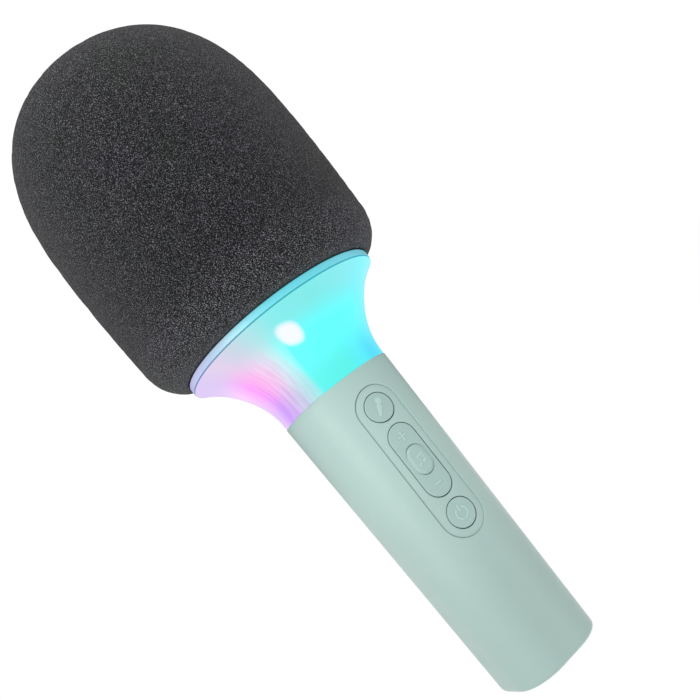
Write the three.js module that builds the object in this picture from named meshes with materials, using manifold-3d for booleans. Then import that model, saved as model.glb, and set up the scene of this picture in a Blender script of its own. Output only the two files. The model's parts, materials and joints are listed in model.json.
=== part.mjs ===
// Toy karaoke microphone, in millimetres. The long axis is +Z, from the tail to the foam head.
// The origin is the centre of the tail face, and the control panel faces -Y.
import * as THREE from "three";
import { mergeVertices } from "three/addons/utils/BufferGeometryUtils.js";
import Module from "manifold-3d";

const wasm = await Module();
wasm.setup();

// ---------------------------------------------------------------- driving dimensions

const TOTAL_LENGTH = 245;

// Handle: a rounded square at the tail that becomes a circle at the top.
const HANDLE_LENGTH = 105.2;
const TAIL_HALF_SIDE = 16.1;
const TAIL_CORNER_RADIUS = 12;
const TOP_HALF_SIDE = 20.1;
const TOP_CORNER_RADIUS = 19.8;
const HANDLE_WALL = 2;
const TAIL_FILLET = 1.8;

// Tail cap, set into the tail opening, with a recess for the charging plug.
const TAIL_LIP = 3.1;
const TAIL_LIP_HEIGHT = 3;
const CAP_GAP = 0.2;
const CAP_INSET = 0.35;
const CAP_THICKNESS = 2;
const RECESS_WIDTH = 13;
const RECESS_DEPTH_Y = 7.2;
const RECESS_TOP = 5.3;
const RECESS_WALL = 1.2;
const RECESS_FLOOR = 1.6;
const SOCKET_HOLE_WIDTH = 9.4;
const SOCKET_HOLE_DEPTH_Y = 3.7;
const CAP_SCREW_X = 10;
const CAP_SCREW_HEAD_RADIUS = 1.6;
const CAP_SCREW_HEAD_HEIGHT = 0.8;
const CAP_SCREW_RADIUS = 0.9;
const CAP_SCREW_TIP = 8.5;
const SCREW_CLEARANCE = 0.2;

// Charging board and its socket, above the recess in the tail cap.
const CHARGING_BOARD_WIDTH = 14;
const CHARGING_BOARD_FRONT_Y = 1.8;
const CHARGING_BOARD_THICKNESS = 1;
const CHARGING_BOARD_TOP = 15.6;
const SOCKET_WIDTH = 8.9;
const SOCKET_DEPTH_Y = 3.2;
const SOCKET_WALL = 0.3;
const SOCKET_BOTTOM = 5.5;
const SOCKET_TOP = 13;
const SOCKET_BACK_WALL = 1.2;
const TONGUE_WIDTH = 6.6;
const TONGUE_DEPTH_Y = 0.7;
const TONGUE_BOTTOM = 6.2;

// Control panel and keys, on a centre line at x = 0.
const PANEL_Z = 72;
const PANEL_RADIUS = 7.5;
const KEY_SPACING = 19.75;
const PANEL_GAP = 0.15;
const PANEL_SINK = 0.35;
const PANEL_BACK = 1.6;
const KEY_RADIUS = 4.62;
const KEY_GAP = 0.3;
const KEY_SINK = 0.1;
const FLANGE_FRONT = 2.2;
const FLANGE_BACK = 2.8;
const FLANGE_OVERLAP = 0.65;
const ROCKER_HALF_LENGTH = 8.2;
const MODE_RADIUS = 3.3;
const MODE_HALF_LENGTH = 1.6;
const MODE_GAP = 0.25;
const MODE_FLANGE_FRONT = 3.2;
const MODE_FLANGE_BACK = 3.8;
const VOLUME_SWITCH_OFFSET = 8.7;
const CUT_FRONT_Y = -25;
const CUT_BACK_Y = -5;
const CUT_BOTTOM = 30;
const CIRCLE_HALF_LENGTH = 0.01;

// Main board, behind the keys and square to X.
const BOARD_FRONT_Y = -10.3;
const BOARD_THICKNESS = 1.2;
const BOARD_WIDTH = 22;
const BOARD_BOTTOM = 43;
const BOARD_TOP = 101;
const BOARD_SCREW_X = 9.3;
const BOARD_SCREW_HEIGHTS = [46, 87];
const BOARD_SCREW_HEAD_RADIUS = 1.5;
const BOARD_SCREW_HEAD_HEIGHT = 1;
const BOARD_SCREW_RADIUS = 0.8;
const BOARD_SCREW_LENGTH = 5.5;
const SWITCH_SIDE = 6.2;
const SWITCH_HEIGHT = 3.3;
const SWITCH_HOLE_RADIUS = 2.1;
const SWITCH_HOLE_DEPTH = 1.6;
const STEM_RADIUS = 1.7;
const STEM_TIP_Y = -14.6;
const STEM_FOOT_Y = -12.8;
const KEY_FOOT_GAP = 0.15;

// Battery cell and the chassis that holds it.
const CELL_RADIUS = 9;
const CELL_LENGTH = 65;
const CELL_Y = 3.2;
const CELL_BOTTOM = 20.5;
const CHASSIS_BOTTOM = 18.4;
const CHASSIS_TOP = 90;
const CHASSIS_CLEARANCE = 0.3;
const CHASSIS_WALL = 1.2;
const CHASSIS_END = 1.8;
const CHASSIS_END_FRONT_Y = -5;
const BOSS_RADIUS = 1.9;
const CELL_POLE_RADIUS = 3;
const CELL_POLE_HEIGHT = 1.2;

// Neck: a clear bell with a frosted light guide inside it.
const NECK_BOTTOM = 105.4;
const NECK_TOP = 132.3;
const NECK_RADIUS = 20.05;
const NECK_FLARE = 16.25;
const NECK_FLARE_HEIGHT = 28;
const NECK_FLARE_POWER = 2.4;
const NECK_WALL = 1.8;
const NECK_LIP_RADIUS = 36.9;
const NECK_LIP_TOP = 132.8;
const SPIGOT_OUTER = 17.7;
const SPIGOT_INNER = 16.1;
const SPIGOT_BOTTOM = 98.5;
const GUIDE_BOTTOM = 107;
const GUIDE_TOP = 130.4;
const GUIDE_OUTER_DEPTH = 2.2;
const GUIDE_INNER_DEPTH = 3.6;
const LIGHT_BOARD_BOTTOM = 103.2;
const LIGHT_BOARD_THICKNESS = 1.2;
const LIGHT_COUNT = 6;
const LIGHT_CIRCLE_RADIUS = 11;
const LIGHT_SIDE = 5;
const LIGHT_HEIGHT = 1.5;
const LIGHT_BOARD_BORE = 6.5;
const LIGHT_BOARD_RADIUS = 15.4;

// Collar: the rim band that the foam sits on.
const COLLAR_BOTTOM = 132.95;
const COLLAR_TOP = 134.9;
const COLLAR_RADIUS = 37.1;
const COLLAR_BORE = 34.2;
const COLLAR_EDGE = 0.4;

// Foam windscreen.
const FOAM_MOUTH = 135.05;
const FOAM_MOUTH_RADIUS = 35;
const FOAM_SHOULDER_Z = 148;
const FOAM_SHOULDER_RADIUS = 45.2;
const FOAM_WIDEST_Z = 186.6;
const FOAM_WIDEST_RADIUS = 46.7;
const FOAM_DOME_POWER = 2.65;
const FOAM_BORE = 36.3;
const FOAM_BORE_DOME_HEIGHT = 36;

// Basket cage, speaker and capsule inside the foam.
const BASE_BOTTOM = 135.1;
const BASE_THICKNESS = 1.5;
const CAGE_BOTTOM = 136.8;
const CAGE_RADIUS = 36;
const CAGE_WALL = 1.8;
const CAGE_DOME_Z = 198;
const CAGE_DOME_HEIGHT = 35.7;
const CAGE_WINDOW_PAIRS = 6;
const SPEAKER_TUBE_TOP = 150.2;
const SPEAKER_TUBE_OUTER = 29.4;
const SPEAKER_TUBE_INNER = 25.8;
const SPEAKER_SCREW_CIRCLE = 27.6;
const SPEAKER_SCREW_BOTTOM = 143.6;
const SPEAKER_HOLE_BOTTOM = 143;
const BASE_BORE = 4.5;
const MAGNET_BOTTOM = 139;
const MAGNET_RADIUS = 14;
const MAGNET_HEIGHT = 6;
const POLE_PLATE_RADIUS = 12.8;
const POLE_PLATE_HEIGHT = 1.5;
const FRAME_BOTTOM = 146.7;
const FRAME_RIM_BOTTOM = 150.4;
const CONE_RIM_BOTTOM = 151.8;
const CROWN_HOLE_COUNT = 6;
const CROWN_HOLE_RADIUS = 2.6;
const CROWN_HOLE_CIRCLE = 13;
const SPIDER_Z = 217;
const SPIDER_WIDTH = 6;
const SPIDER_THICKNESS = 2;
const SPIDER_LENGTH = 58;
const SPIDER_BORE = 1.5;
const CAPSULE_RADIUS = 4.85;
const CAPSULE_HEIGHT = 6;
const CAPSULE_GRILLE_RADIUS = 3.6;
const HOLDER_RADIUS = 7.2;
const HOLDER_HEIGHT = 8;
const HOLDER_FLOOR = 1.4;
const LEAD_HOLE_RADIUS = 1.1;
const LEAD_RADIUS = 0.7;
const LEAD_CIRCLE_RADIUS = 30.6;

// Facets around each kind of round piece.
const BODY_FACETS = 40;
const INNER_FACETS = 24;
const CAPSULE_FACETS = 20;
const SMALL_FACETS = 12;
const LEAD_SIDES = 8;
const ARC_FACETS = 5;
const CHARGING_LEAD_STEPS = 16;
const MICROPHONE_LEAD_STEPS = 48;

// Extra length of a cutting tool past the face that it cuts.
const PAST = 1;

// ---------------------------------------------------------------- materials

const plastic = (color, roughness) => new THREE.MeshStandardMaterial({ color, roughness, metalness: 0 });
const metal = (color, roughness) => new THREE.MeshStandardMaterial({ color, roughness, metalness: 0.9 });
const glow = (color) => new THREE.MeshStandardMaterial({ color, emissive: color, roughness: 0.4 });

const MATERIALS = {
  sage: plastic(0xb9d6cf, 0.55),
  key: plastic(0xb0cdc6, 0.5),
  foam: plastic(0x45474c, 0.95),
  clear: plastic(0xa8e8f0, 0.1),
  frosted: plastic(0x6ff5f5, 0.6),
  basket: plastic(0x2b2d31, 0.6),
  board: plastic(0x1f5a3c, 0.5),
  chip: plastic(0x1b1c1f, 0.4),
  white: plastic(0xe8e8e4, 0.5),
  cell: metal(0x4d7fb8, 0.45),
  steel: metal(0xb9bcc0, 0.35),
  magnet: metal(0x55575a, 0.5),
  cone: plastic(0x232428, 0.8),
  rubber: plastic(0x26272a, 0.85),
  light: glow(0xfff3c8),
  lead: plastic(0x333438, 0.6),
};

// ---------------------------------------------------------------- solids

// A three.js geometry as a manifold-3d solid.
function solid(geometry) {
  const bare = geometry.clone();
  bare.deleteAttribute("normal");
  bare.deleteAttribute("uv");
  const merged = mergeVertices(bare, 1e-4);
  const mesh = new wasm.Mesh({
    numProp: 3,
    vertProperties: new Float32Array(merged.attributes.position.array),
    triVerts: new Uint32Array(merged.index.array),
  });
  return new wasm.Manifold(mesh);
}

// A manifold-3d solid as a three.js geometry.
function geometryOf(body) {
  const mesh = body.getMesh();
  const geometry = new THREE.BufferGeometry();
  const points = new Float32Array(mesh.numVert * 3);
  for (let i = 0; i < mesh.numVert; i += 1) {
    points.set(mesh.vertProperties.subarray(i * mesh.numProp, i * mesh.numProp + 3), i * 3);
  }
  geometry.setAttribute("position", new THREE.BufferAttribute(points, 3));
  geometry.setIndex(new THREE.BufferAttribute(new Uint32Array(mesh.triVerts), 1));
  geometry.computeVertexNormals();
  return geometry;
}

const joined = (first, ...others) => others.reduce((body, other) => body.add(other), first);
const cut = (first, ...others) => others.reduce((body, other) => body.subtract(other), first);

// A block between two corners.
function block(low, high) {
  const [dx, dy, dz] = high.map((value, i) => value - low[i]);
  const [x, y, z] = high.map((value, i) => (value + low[i]) / 2);
  return solid(new THREE.BoxGeometry(dx, dy, dz).translate(x, y, z));
}

// An upright cylinder.
function post(radius, bottom, top, x = 0, y = 0, facets = SMALL_FACETS) {
  const geometry = new THREE.CylinderGeometry(radius, radius, top - bottom, facets);
  return solid(geometry.rotateX(Math.PI / 2).translate(x, y, (bottom + top) / 2));
}

// A cylinder along Y.
function rod(radius, front, back, x, z, facets = SMALL_FACETS) {
  const geometry = new THREE.CylinderGeometry(radius, radius, back - front, facets);
  return solid(geometry.translate(x, (front + back) / 2, z));
}

// A body of revolution about Z, from [radius, height] points that run anticlockwise.
function revolved(profile, facets = INNER_FACETS) {
  const points = profile.map(([radius, height]) => new THREE.Vector2(radius, height));
  if (profile[0][0] > 0) points.push(points[0].clone());
  return solid(new THREE.LatheGeometry(points, facets).rotateX(Math.PI / 2));
}

// A pill or circle outline in X and Z, as a shape whose own y is Z.
function pillShape(radius, halfLength, centreZ) {
  const shape = new THREE.Shape();
  shape.absarc(0, centreZ + halfLength, radius, 0, Math.PI, false);
  shape.absarc(0, centreZ - halfLength, radius, Math.PI, 2 * Math.PI, false);
  return shape;
}

// A shape in X and Z, extruded along Y from front to back.
function frontPrism(shape, front, back) {
  const options = { depth: back - front, bevelEnabled: false, curveSegments: ARC_FACETS };
  const geometry = new THREE.ExtrudeGeometry(shape, options);
  return solid(geometry.rotateX(Math.PI / 2).translate(0, back, 0));
}

// A shape in X and Y, extruded upwards.
function upPrism(shape, bottom, top) {
  const options = { depth: top - bottom, bevelEnabled: false, curveSegments: ARC_FACETS };
  return solid(new THREE.ExtrudeGeometry(shape, options).translate(0, 0, bottom));
}

// A round lead along a smooth curve through the points.
function leadAlong(points, steps) {
  const places = points.map((p) => new THREE.Vector3(...p));
  const path = new THREE.CatmullRomCurve3(places, false, "centripetal");
  const section = new THREE.Shape();
  section.absarc(0, 0, LEAD_RADIUS, 0, 2 * Math.PI, false);
  const options = { extrudePath: path, steps, bevelEnabled: false, curveSegments: LEAD_SIDES / 2 };
  return solid(new THREE.ExtrudeGeometry(section, options));
}

// ---------------------------------------------------------------- handle surface

const handleHalfSide = (z) => TAIL_HALF_SIDE + ((TOP_HALF_SIDE - TAIL_HALF_SIDE) * z) / HANDLE_LENGTH;
const handleCornerRadius = (z) =>
  TAIL_CORNER_RADIUS + ((TOP_CORNER_RADIUS - TAIL_CORNER_RADIUS) * z) / HANDLE_LENGTH;

// Distance from the axis to a rounded square, in the direction of an angle.
function roundedSquareRadius(angle, halfSide, cornerRadius) {
  const across = Math.abs(Math.cos(angle));
  const up = Math.abs(Math.sin(angle));
  const long = Math.max(across, up);
  const short = Math.min(across, up);
  const corner = halfSide - cornerRadius;
  if ((halfSide * short) / long <= corner) return halfSide / long;
  const along = corner * (long + short);
  return along + Math.sqrt(along * along - 2 * corner * corner + cornerRadius * cornerRadius);
}

// A tube that follows the handle's outer surface, from [depth under the surface, height] points.
function handleTube(profile) {
  const reference = 100;
  const points = profile.map(([depth, z]) => new THREE.Vector2(reference - depth, z));
  points.push(points[0].clone());
  const geometry = new THREE.LatheGeometry(points, BODY_FACETS).rotateX(Math.PI / 2);
  const position = geometry.attributes.position;
  for (let i = 0; i < position.count; i += 1) {
    const x = position.getX(i);
    const y = position.getY(i);
    const z = position.getZ(i);
    const depth = reference - Math.hypot(x, y);
    const angle = Math.atan2(y, x);
    const radius = roundedSquareRadius(angle, handleHalfSide(z) - depth, handleCornerRadius(z) - depth);
    position.setXYZ(i, radius * Math.cos(angle), radius * Math.sin(angle), z);
  }
  return solid(geometry);
}

// The layer of the handle between two depths, where the panel and keys are.
function handleLayer(outerDepth, innerDepth) {
  return handleTube([
    [outerDepth, CUT_BOTTOM],
    [outerDepth, HANDLE_LENGTH],
    [innerDepth, HANDLE_LENGTH],
    [innerDepth, CUT_BOTTOM],
  ]);
}

// A pill-shaped prism through the front of the handle.
function frontPill(radius, halfLength, centreZ) {
  return frontPrism(pillShape(radius, halfLength, centreZ), CUT_FRONT_Y, CUT_BACK_Y);
}

// A piece of the handle's layer between two depths, cut out by a pill seen from the front.
function surfacePill(radius, halfLength, centreZ, outerDepth, innerDepth) {
  return handleLayer(outerDepth, innerDepth).intersect(frontPill(radius, halfLength, centreZ));
}

// ---------------------------------------------------------------- handle shell

function handleBarrel() {
  const fillet = [];
  for (let i = 0; i <= 4; i += 1) {
    const angle = (i / 4) * (Math.PI / 2);
    fillet.push([TAIL_FILLET * (1 - Math.sin(angle)), TAIL_FILLET * (1 - Math.cos(angle))]);
  }
  const shell = handleTube([
    [TAIL_LIP, 0],
    ...fillet,
    [0, HANDLE_LENGTH],
    [HANDLE_WALL, HANDLE_LENGTH],
    [HANDLE_WALL, TAIL_LIP_HEIGHT],
    [TAIL_LIP, TAIL_LIP_HEIGHT],
  ]);
  return cut(shell, frontPill(PANEL_RADIUS, KEY_SPACING, PANEL_Z));
}

function controlPanel() {
  const outline = surfacePill(PANEL_RADIUS - PANEL_GAP, KEY_SPACING, PANEL_Z, PANEL_SINK, PANEL_BACK);
  const hole = KEY_RADIUS + KEY_GAP;
  return cut(
    outline,
    frontPill(hole, CIRCLE_HALF_LENGTH, PANEL_Z + KEY_SPACING),
    frontPill(hole, ROCKER_HALF_LENGTH, PANEL_Z),
    frontPill(hole, CIRCLE_HALF_LENGTH, PANEL_Z - KEY_SPACING),
  );
}

function tailCap() {
  const plateTop = CAP_INSET + CAP_THICKNESS;
  const side = TAIL_HALF_SIDE - TAIL_LIP - CAP_GAP;
  const corner = TAIL_CORNER_RADIUS - TAIL_LIP - CAP_GAP;
  const outline = new THREE.Shape();
  outline.absarc(side - corner, side - corner, corner, 0, Math.PI / 2, false);
  outline.absarc(corner - side, side - corner, corner, Math.PI / 2, Math.PI, false);
  outline.absarc(corner - side, corner - side, corner, Math.PI, 1.5 * Math.PI, false);
  outline.absarc(side - corner, corner - side, corner, 1.5 * Math.PI, 2 * Math.PI, false);
  const halfX = RECESS_WIDTH / 2;
  const halfY = RECESS_DEPTH_Y / 2;
  const housing = block(
    [-halfX - RECESS_WALL, -halfY - RECESS_WALL, CAP_INSET],
    [halfX + RECESS_WALL, halfY + RECESS_WALL, RECESS_TOP + RECESS_FLOOR],
  );
  const recess = block([-halfX, -halfY, -PAST], [halfX, halfY, RECESS_TOP]);
  const holeX = SOCKET_HOLE_WIDTH / 2;
  const holeY = SOCKET_HOLE_DEPTH_Y / 2;
  const recessBack = RECESS_TOP + RECESS_FLOOR;
  const socketHole = block([-holeX, -holeY, RECESS_TOP - PAST], [holeX, holeY, recessBack + PAST]);
  const holeRadius = CAP_SCREW_RADIUS + SCREW_CLEARANCE;
  const sinkRadius = CAP_SCREW_HEAD_RADIUS + SCREW_CLEARANCE;
  const sinkTop = CAP_INSET + CAP_SCREW_HEAD_HEIGHT + 0.3;
  const screwHoles = [-1, 1].flatMap((sign) => [
    post(holeRadius, -PAST, plateTop + PAST, sign * CAP_SCREW_X),
    post(sinkRadius, -PAST, sinkTop, sign * CAP_SCREW_X),
  ]);
  return cut(joined(upPrism(outline, CAP_INSET, plateTop), housing), recess, socketHole, ...screwHoles);
}

function tailCapScrew(sign) {
  const x = sign * CAP_SCREW_X;
  const bottom = CAP_INSET + 0.1;
  const headTop = bottom + CAP_SCREW_HEAD_HEIGHT;
  const head = post(CAP_SCREW_HEAD_RADIUS, bottom, headTop, x);
  return joined(head, post(CAP_SCREW_RADIUS, (bottom + headTop) / 2, CAP_SCREW_TIP, x));
}

// ---------------------------------------------------------------- keys

// A key: its cap, the flange that keeps it behind the panel, and a foot on each switch stem.
function keyBody(radius, halfLength, centreZ, flangeDepths, footHeights) {
  const [flangeFront, flangeBack] = flangeDepths;
  const cap = surfacePill(radius, halfLength, centreZ, KEY_SINK, flangeBack);
  const flange = surfacePill(radius + FLANGE_OVERLAP, halfLength, centreZ, flangeFront, flangeBack);
  const feet = footHeights
    .map((z) => ({ z, front: flangeBack - 0.3 - handleHalfSide(z) }))
    .filter(({ front }) => front < STEM_TIP_Y - KEY_FOOT_GAP - 0.4)
    .map(({ z, front }) => rod(STEM_RADIUS, front, STEM_TIP_Y - KEY_FOOT_GAP, 0, z));
  return joined(cap, flange, ...feet);
}

const roundKey = (z) => keyBody(KEY_RADIUS, CIRCLE_HALF_LENGTH, z, [FLANGE_FRONT, FLANGE_BACK], [z]);

function volumeRocker() {
  const feet = [PANEL_Z - VOLUME_SWITCH_OFFSET, PANEL_Z + VOLUME_SWITCH_OFFSET];
  const rocker = keyBody(KEY_RADIUS, ROCKER_HALF_LENGTH, PANEL_Z, [FLANGE_FRONT, FLANGE_BACK], feet);
  return cut(rocker, frontPill(MODE_RADIUS + MODE_GAP, MODE_HALF_LENGTH, PANEL_Z));
}

function modeKey() {
  return keyBody(MODE_RADIUS, MODE_HALF_LENGTH, PANEL_Z, [MODE_FLANGE_FRONT, MODE_FLANGE_BACK], []);
}

function switchBody(z) {
  const half = SWITCH_SIDE / 2;
  const back = BOARD_FRONT_Y - 0.1;
  const front = BOARD_FRONT_Y - SWITCH_HEIGHT;
  const body = block([-half, front, z - half], [half, back, z + half]);
  return cut(body, rod(SWITCH_HOLE_RADIUS, front - PAST, front + SWITCH_HOLE_DEPTH, 0, z));
}

const switchStem = (z) => rod(STEM_RADIUS, STEM_TIP_Y, STEM_FOOT_Y, 0, z);

// ---------------------------------------------------------------- electronics in the handle

function mainBoard() {
  const half = BOARD_WIDTH / 2;
  const back = BOARD_FRONT_Y + BOARD_THICKNESS;
  const board = block([-half, BOARD_FRONT_Y, BOARD_BOTTOM], [half, back, BOARD_TOP]);
  return cut(board, ...boardScrewHoles());
}

function boardScrewHoles() {
  const radius = BOARD_SCREW_RADIUS + SCREW_CLEARANCE;
  const back = BOARD_FRONT_Y + BOARD_SCREW_LENGTH + 1.5;
  return BOARD_SCREW_HEIGHTS.flatMap((z) =>
    [-1, 1].map((sign) => rod(radius, BOARD_FRONT_Y - PAST, back, sign * BOARD_SCREW_X, z)),
  );
}

function boardScrew(sign, z) {
  const x = sign * BOARD_SCREW_X;
  const headBack = BOARD_FRONT_Y - 0.1;
  const headFront = headBack - BOARD_SCREW_HEAD_HEIGHT;
  const head = rod(BOARD_SCREW_HEAD_RADIUS, headFront, headBack, x, z);
  const tip = BOARD_FRONT_Y + BOARD_SCREW_LENGTH;
  const shank = rod(BOARD_SCREW_RADIUS, (headFront + headBack) / 2, tip, x, z);
  return joined(head, shank);
}

function innerChassis() {
  const inner = CELL_RADIUS + CHASSIS_CLEARANCE;
  const outer = inner + CHASSIS_WALL;
  const front = BOARD_FRONT_Y + BOARD_THICKNESS + 0.2;
  const tray = new THREE.Shape();
  tray.moveTo(outer, front);
  tray.lineTo(outer, CELL_Y);
  tray.absarc(0, CELL_Y, outer, 0, Math.PI, false);
  tray.lineTo(-outer, front);
  tray.lineTo(-inner, front);
  tray.lineTo(-inner, CELL_Y);
  tray.absarc(0, CELL_Y, inner, Math.PI, 0, true);
  tray.lineTo(inner, front);
  const wallTop = CELL_Y + outer - 2;
  const endHalf = inner + 0.3;
  const end = (bottom) =>
    block([-endHalf, CHASSIS_END_FRONT_Y, bottom], [endHalf, wallTop - 2, bottom + CHASSIS_END]);
  const bosses = BOARD_SCREW_HEIGHTS.flatMap((z) =>
    [-1, 1].map((sign) => rod(BOSS_RADIUS, front, front + BOARD_SCREW_LENGTH, sign * BOARD_SCREW_X, z)),
  );
  const body = joined(
    upPrism(tray, CHASSIS_BOTTOM, CHASSIS_TOP),
    end(CHASSIS_BOTTOM),
    end(CHASSIS_TOP - CHASSIS_END),
    ...bosses,
  );
  return cut(body, ...boardScrewHoles());
}

function batteryCell() {
  const top = CELL_BOTTOM + CELL_LENGTH;
  return joined(
    post(CELL_RADIUS, CELL_BOTTOM, top, 0, CELL_Y, INNER_FACETS),
    post(CELL_POLE_RADIUS, top - 1, top + CELL_POLE_HEIGHT, 0, CELL_Y),
  );
}

// A component standing on the back face of the main board.
function boardBackPart(x, z, width, height, thickness) {
  const back = BOARD_FRONT_Y + BOARD_THICKNESS;
  const low = [x - width / 2, back + 0.1, z - height / 2];
  const high = [x + width / 2, back + thickness, z + height / 2];
  return block(low, high);
}

function chargingBoard() {
  const half = CHARGING_BOARD_WIDTH / 2;
  const back = CHARGING_BOARD_FRONT_Y + CHARGING_BOARD_THICKNESS;
  const bottom = RECESS_TOP + RECESS_FLOOR + 0.3;
  return block([-half, CHARGING_BOARD_FRONT_Y, bottom], [half, back, CHARGING_BOARD_TOP]);
}

// A block centred on the Z axis.
function centredBlock(width, depthY, bottom, top) {
  return block([-width / 2, -depthY / 2, bottom], [width / 2, depthY / 2, top]);
}

function chargingSocket() {
  const shell = centredBlock(SOCKET_WIDTH, SOCKET_DEPTH_Y, SOCKET_BOTTOM, SOCKET_TOP);
  const mouthTop = SOCKET_TOP - SOCKET_BACK_WALL;
  const mouthWidth = SOCKET_WIDTH - 2 * SOCKET_WALL;
  const mouth = centredBlock(mouthWidth, SOCKET_DEPTH_Y - 2 * SOCKET_WALL, SOCKET_BOTTOM - PAST, mouthTop);
  const tongueTop = SOCKET_TOP - SOCKET_BACK_WALL / 2;
  const tongue = centredBlock(TONGUE_WIDTH, TONGUE_DEPTH_Y, TONGUE_BOTTOM, tongueTop);
  return joined(cut(shell, mouth), tongue);
}

function chargingLead() {
  return leadAlong(
    [
      [4, 0.9, 14.6],
      [4, -2.5, 15.6],
      [4, -7.5, 17.5],
      [4, -11, 24],
      [4, -11.4, 34],
      [4, -11.3, 45],
    ],
    CHARGING_LEAD_STEPS,
  );
}

// ---------------------------------------------------------------- neck

const neckShare = (z) => (z - NECK_BOTTOM) / NECK_FLARE_HEIGHT;
const neckRadius = (z) => NECK_RADIUS + NECK_FLARE * neckShare(z) ** NECK_FLARE_POWER;

// The neck's radius at a depth measured square to its surface.
function neckRadiusUnder(z, depth) {
  const steepness = (NECK_FLARE * NECK_FLARE_POWER) / NECK_FLARE_HEIGHT;
  const slope = steepness * neckShare(z) ** (NECK_FLARE_POWER - 1);
  return neckRadius(z) - depth * Math.hypot(1, slope);
}

// Points along the neck between two heights at one depth.
function neckCurve(from, to, depth, steps) {
  return Array.from({ length: steps + 1 }, (_, i) => {
    const z = from + ((to - from) * i) / steps;
    return [neckRadiusUnder(z, depth), z];
  });
}

function neckDiffuser() {
  return revolved(
    [
      [SPIGOT_INNER, SPIGOT_BOTTOM],
      [SPIGOT_OUTER, SPIGOT_BOTTOM],
      [SPIGOT_OUTER, NECK_BOTTOM],
      ...neckCurve(NECK_BOTTOM, NECK_TOP, 0, 7),
      [NECK_LIP_RADIUS - 0.2, NECK_TOP + 0.05],
      [NECK_LIP_RADIUS, NECK_TOP + 0.25],
      [NECK_LIP_RADIUS - 0.2, NECK_LIP_TOP],
      [neckRadiusUnder(NECK_TOP, NECK_WALL), NECK_LIP_TOP],
      ...neckCurve(NECK_TOP, NECK_BOTTOM + 1.5, NECK_WALL, 5),
      [SPIGOT_INNER, NECK_BOTTOM],
    ],
    BODY_FACETS,
  );
}

function lightGuide() {
  return revolved(
    [
      ...neckCurve(GUIDE_BOTTOM, GUIDE_TOP, GUIDE_OUTER_DEPTH, 5),
      ...neckCurve(GUIDE_TOP, GUIDE_BOTTOM, GUIDE_INNER_DEPTH, 4),
    ],
    BODY_FACETS,
  );
}

function lightBoard() {
  const top = LIGHT_BOARD_BOTTOM + LIGHT_BOARD_THICKNESS;
  return revolved([
    [LIGHT_BOARD_BORE, LIGHT_BOARD_BOTTOM],
    [LIGHT_BOARD_RADIUS, LIGHT_BOARD_BOTTOM],
    [LIGHT_BOARD_RADIUS, top],
    [LIGHT_BOARD_BORE, top],
  ]);
}

function lightEmitter() {
  const bottom = LIGHT_BOARD_BOTTOM + LIGHT_BOARD_THICKNESS + 0.1;
  const half = LIGHT_SIDE / 2;
  return block([-half, -half, bottom], [half, half, bottom + LIGHT_HEIGHT]);
}

function diffuserCollar() {
  return revolved(
    [
      [COLLAR_BORE, COLLAR_BOTTOM],
      [COLLAR_RADIUS - COLLAR_EDGE, COLLAR_BOTTOM],
      [COLLAR_RADIUS, COLLAR_BOTTOM + COLLAR_EDGE],
      [COLLAR_RADIUS, COLLAR_TOP - COLLAR_EDGE],
      [COLLAR_RADIUS - COLLAR_EDGE, COLLAR_TOP],
      [COLLAR_BORE, COLLAR_TOP],
    ],
    BODY_FACETS,
  );
}

// ---------------------------------------------------------------- head

function foamWindscreen() {
  const outer = [];
  const mouthTurn = 0.13;
  for (let i = 0; i <= 5; i += 1) {
    const angle = mouthTurn + (i / 5) * (Math.PI / 2 - mouthTurn) - Math.PI / 2;
    const width = FOAM_SHOULDER_RADIUS - FOAM_MOUTH_RADIUS;
    const height = FOAM_SHOULDER_Z - FOAM_MOUTH;
    outer.push([FOAM_MOUTH_RADIUS + width * Math.cos(angle), FOAM_SHOULDER_Z + height * Math.sin(angle)]);
  }
  outer.push([FOAM_WIDEST_RADIUS, FOAM_WIDEST_Z]);
  const domeHeight = TOTAL_LENGTH - FOAM_WIDEST_Z;
  for (let i = 1; i < 10; i += 1) {
    const angle = (i / 10) * (Math.PI / 2);
    const rise = Math.sin(angle) ** (2 / FOAM_DOME_POWER);
    const width = Math.cos(angle) ** (2 / FOAM_DOME_POWER);
    outer.push([FOAM_WIDEST_RADIUS * width, FOAM_WIDEST_Z + domeHeight * rise]);
  }
  const bore = [];
  for (let i = 0; i <= 7; i += 1) {
    const angle = (Math.PI / 2) * (1 - i / 7);
    bore.push([FOAM_BORE * Math.cos(angle), CAGE_DOME_Z + FOAM_BORE_DOME_HEIGHT * Math.sin(angle)]);
  }
  bore[0][0] = 0;
  const profile = [...bore, [FOAM_BORE, outer[0][1]], ...outer, [0, TOTAL_LENGTH]];
  return revolved(profile, BODY_FACETS);
}

function basketBase() {
  const floorTop = BASE_BOTTOM + BASE_THICKNESS;
  const base = revolved([
    [BASE_BORE, BASE_BOTTOM],
    [CAGE_RADIUS, BASE_BOTTOM],
    [CAGE_RADIUS, floorTop],
    [SPEAKER_TUBE_OUTER, floorTop],
    [SPEAKER_TUBE_OUTER, SPEAKER_TUBE_TOP],
    [SPEAKER_TUBE_INNER, SPEAKER_TUBE_TOP],
    [SPEAKER_TUBE_INNER, floorTop],
    [BASE_BORE, floorTop],
  ]);
  const leadHole = post(LEAD_HOLE_RADIUS, BASE_BOTTOM - PAST, floorTop + PAST, 0, LEAD_CIRCLE_RADIUS);
  const screwHoles = speakerScrewPlaces().map(([x, y]) =>
    post(0.95, SPEAKER_HOLE_BOTTOM, SPEAKER_TUBE_TOP + PAST, x, y),
  );
  return cut(base, leadHole, ...screwHoles);
}

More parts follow.
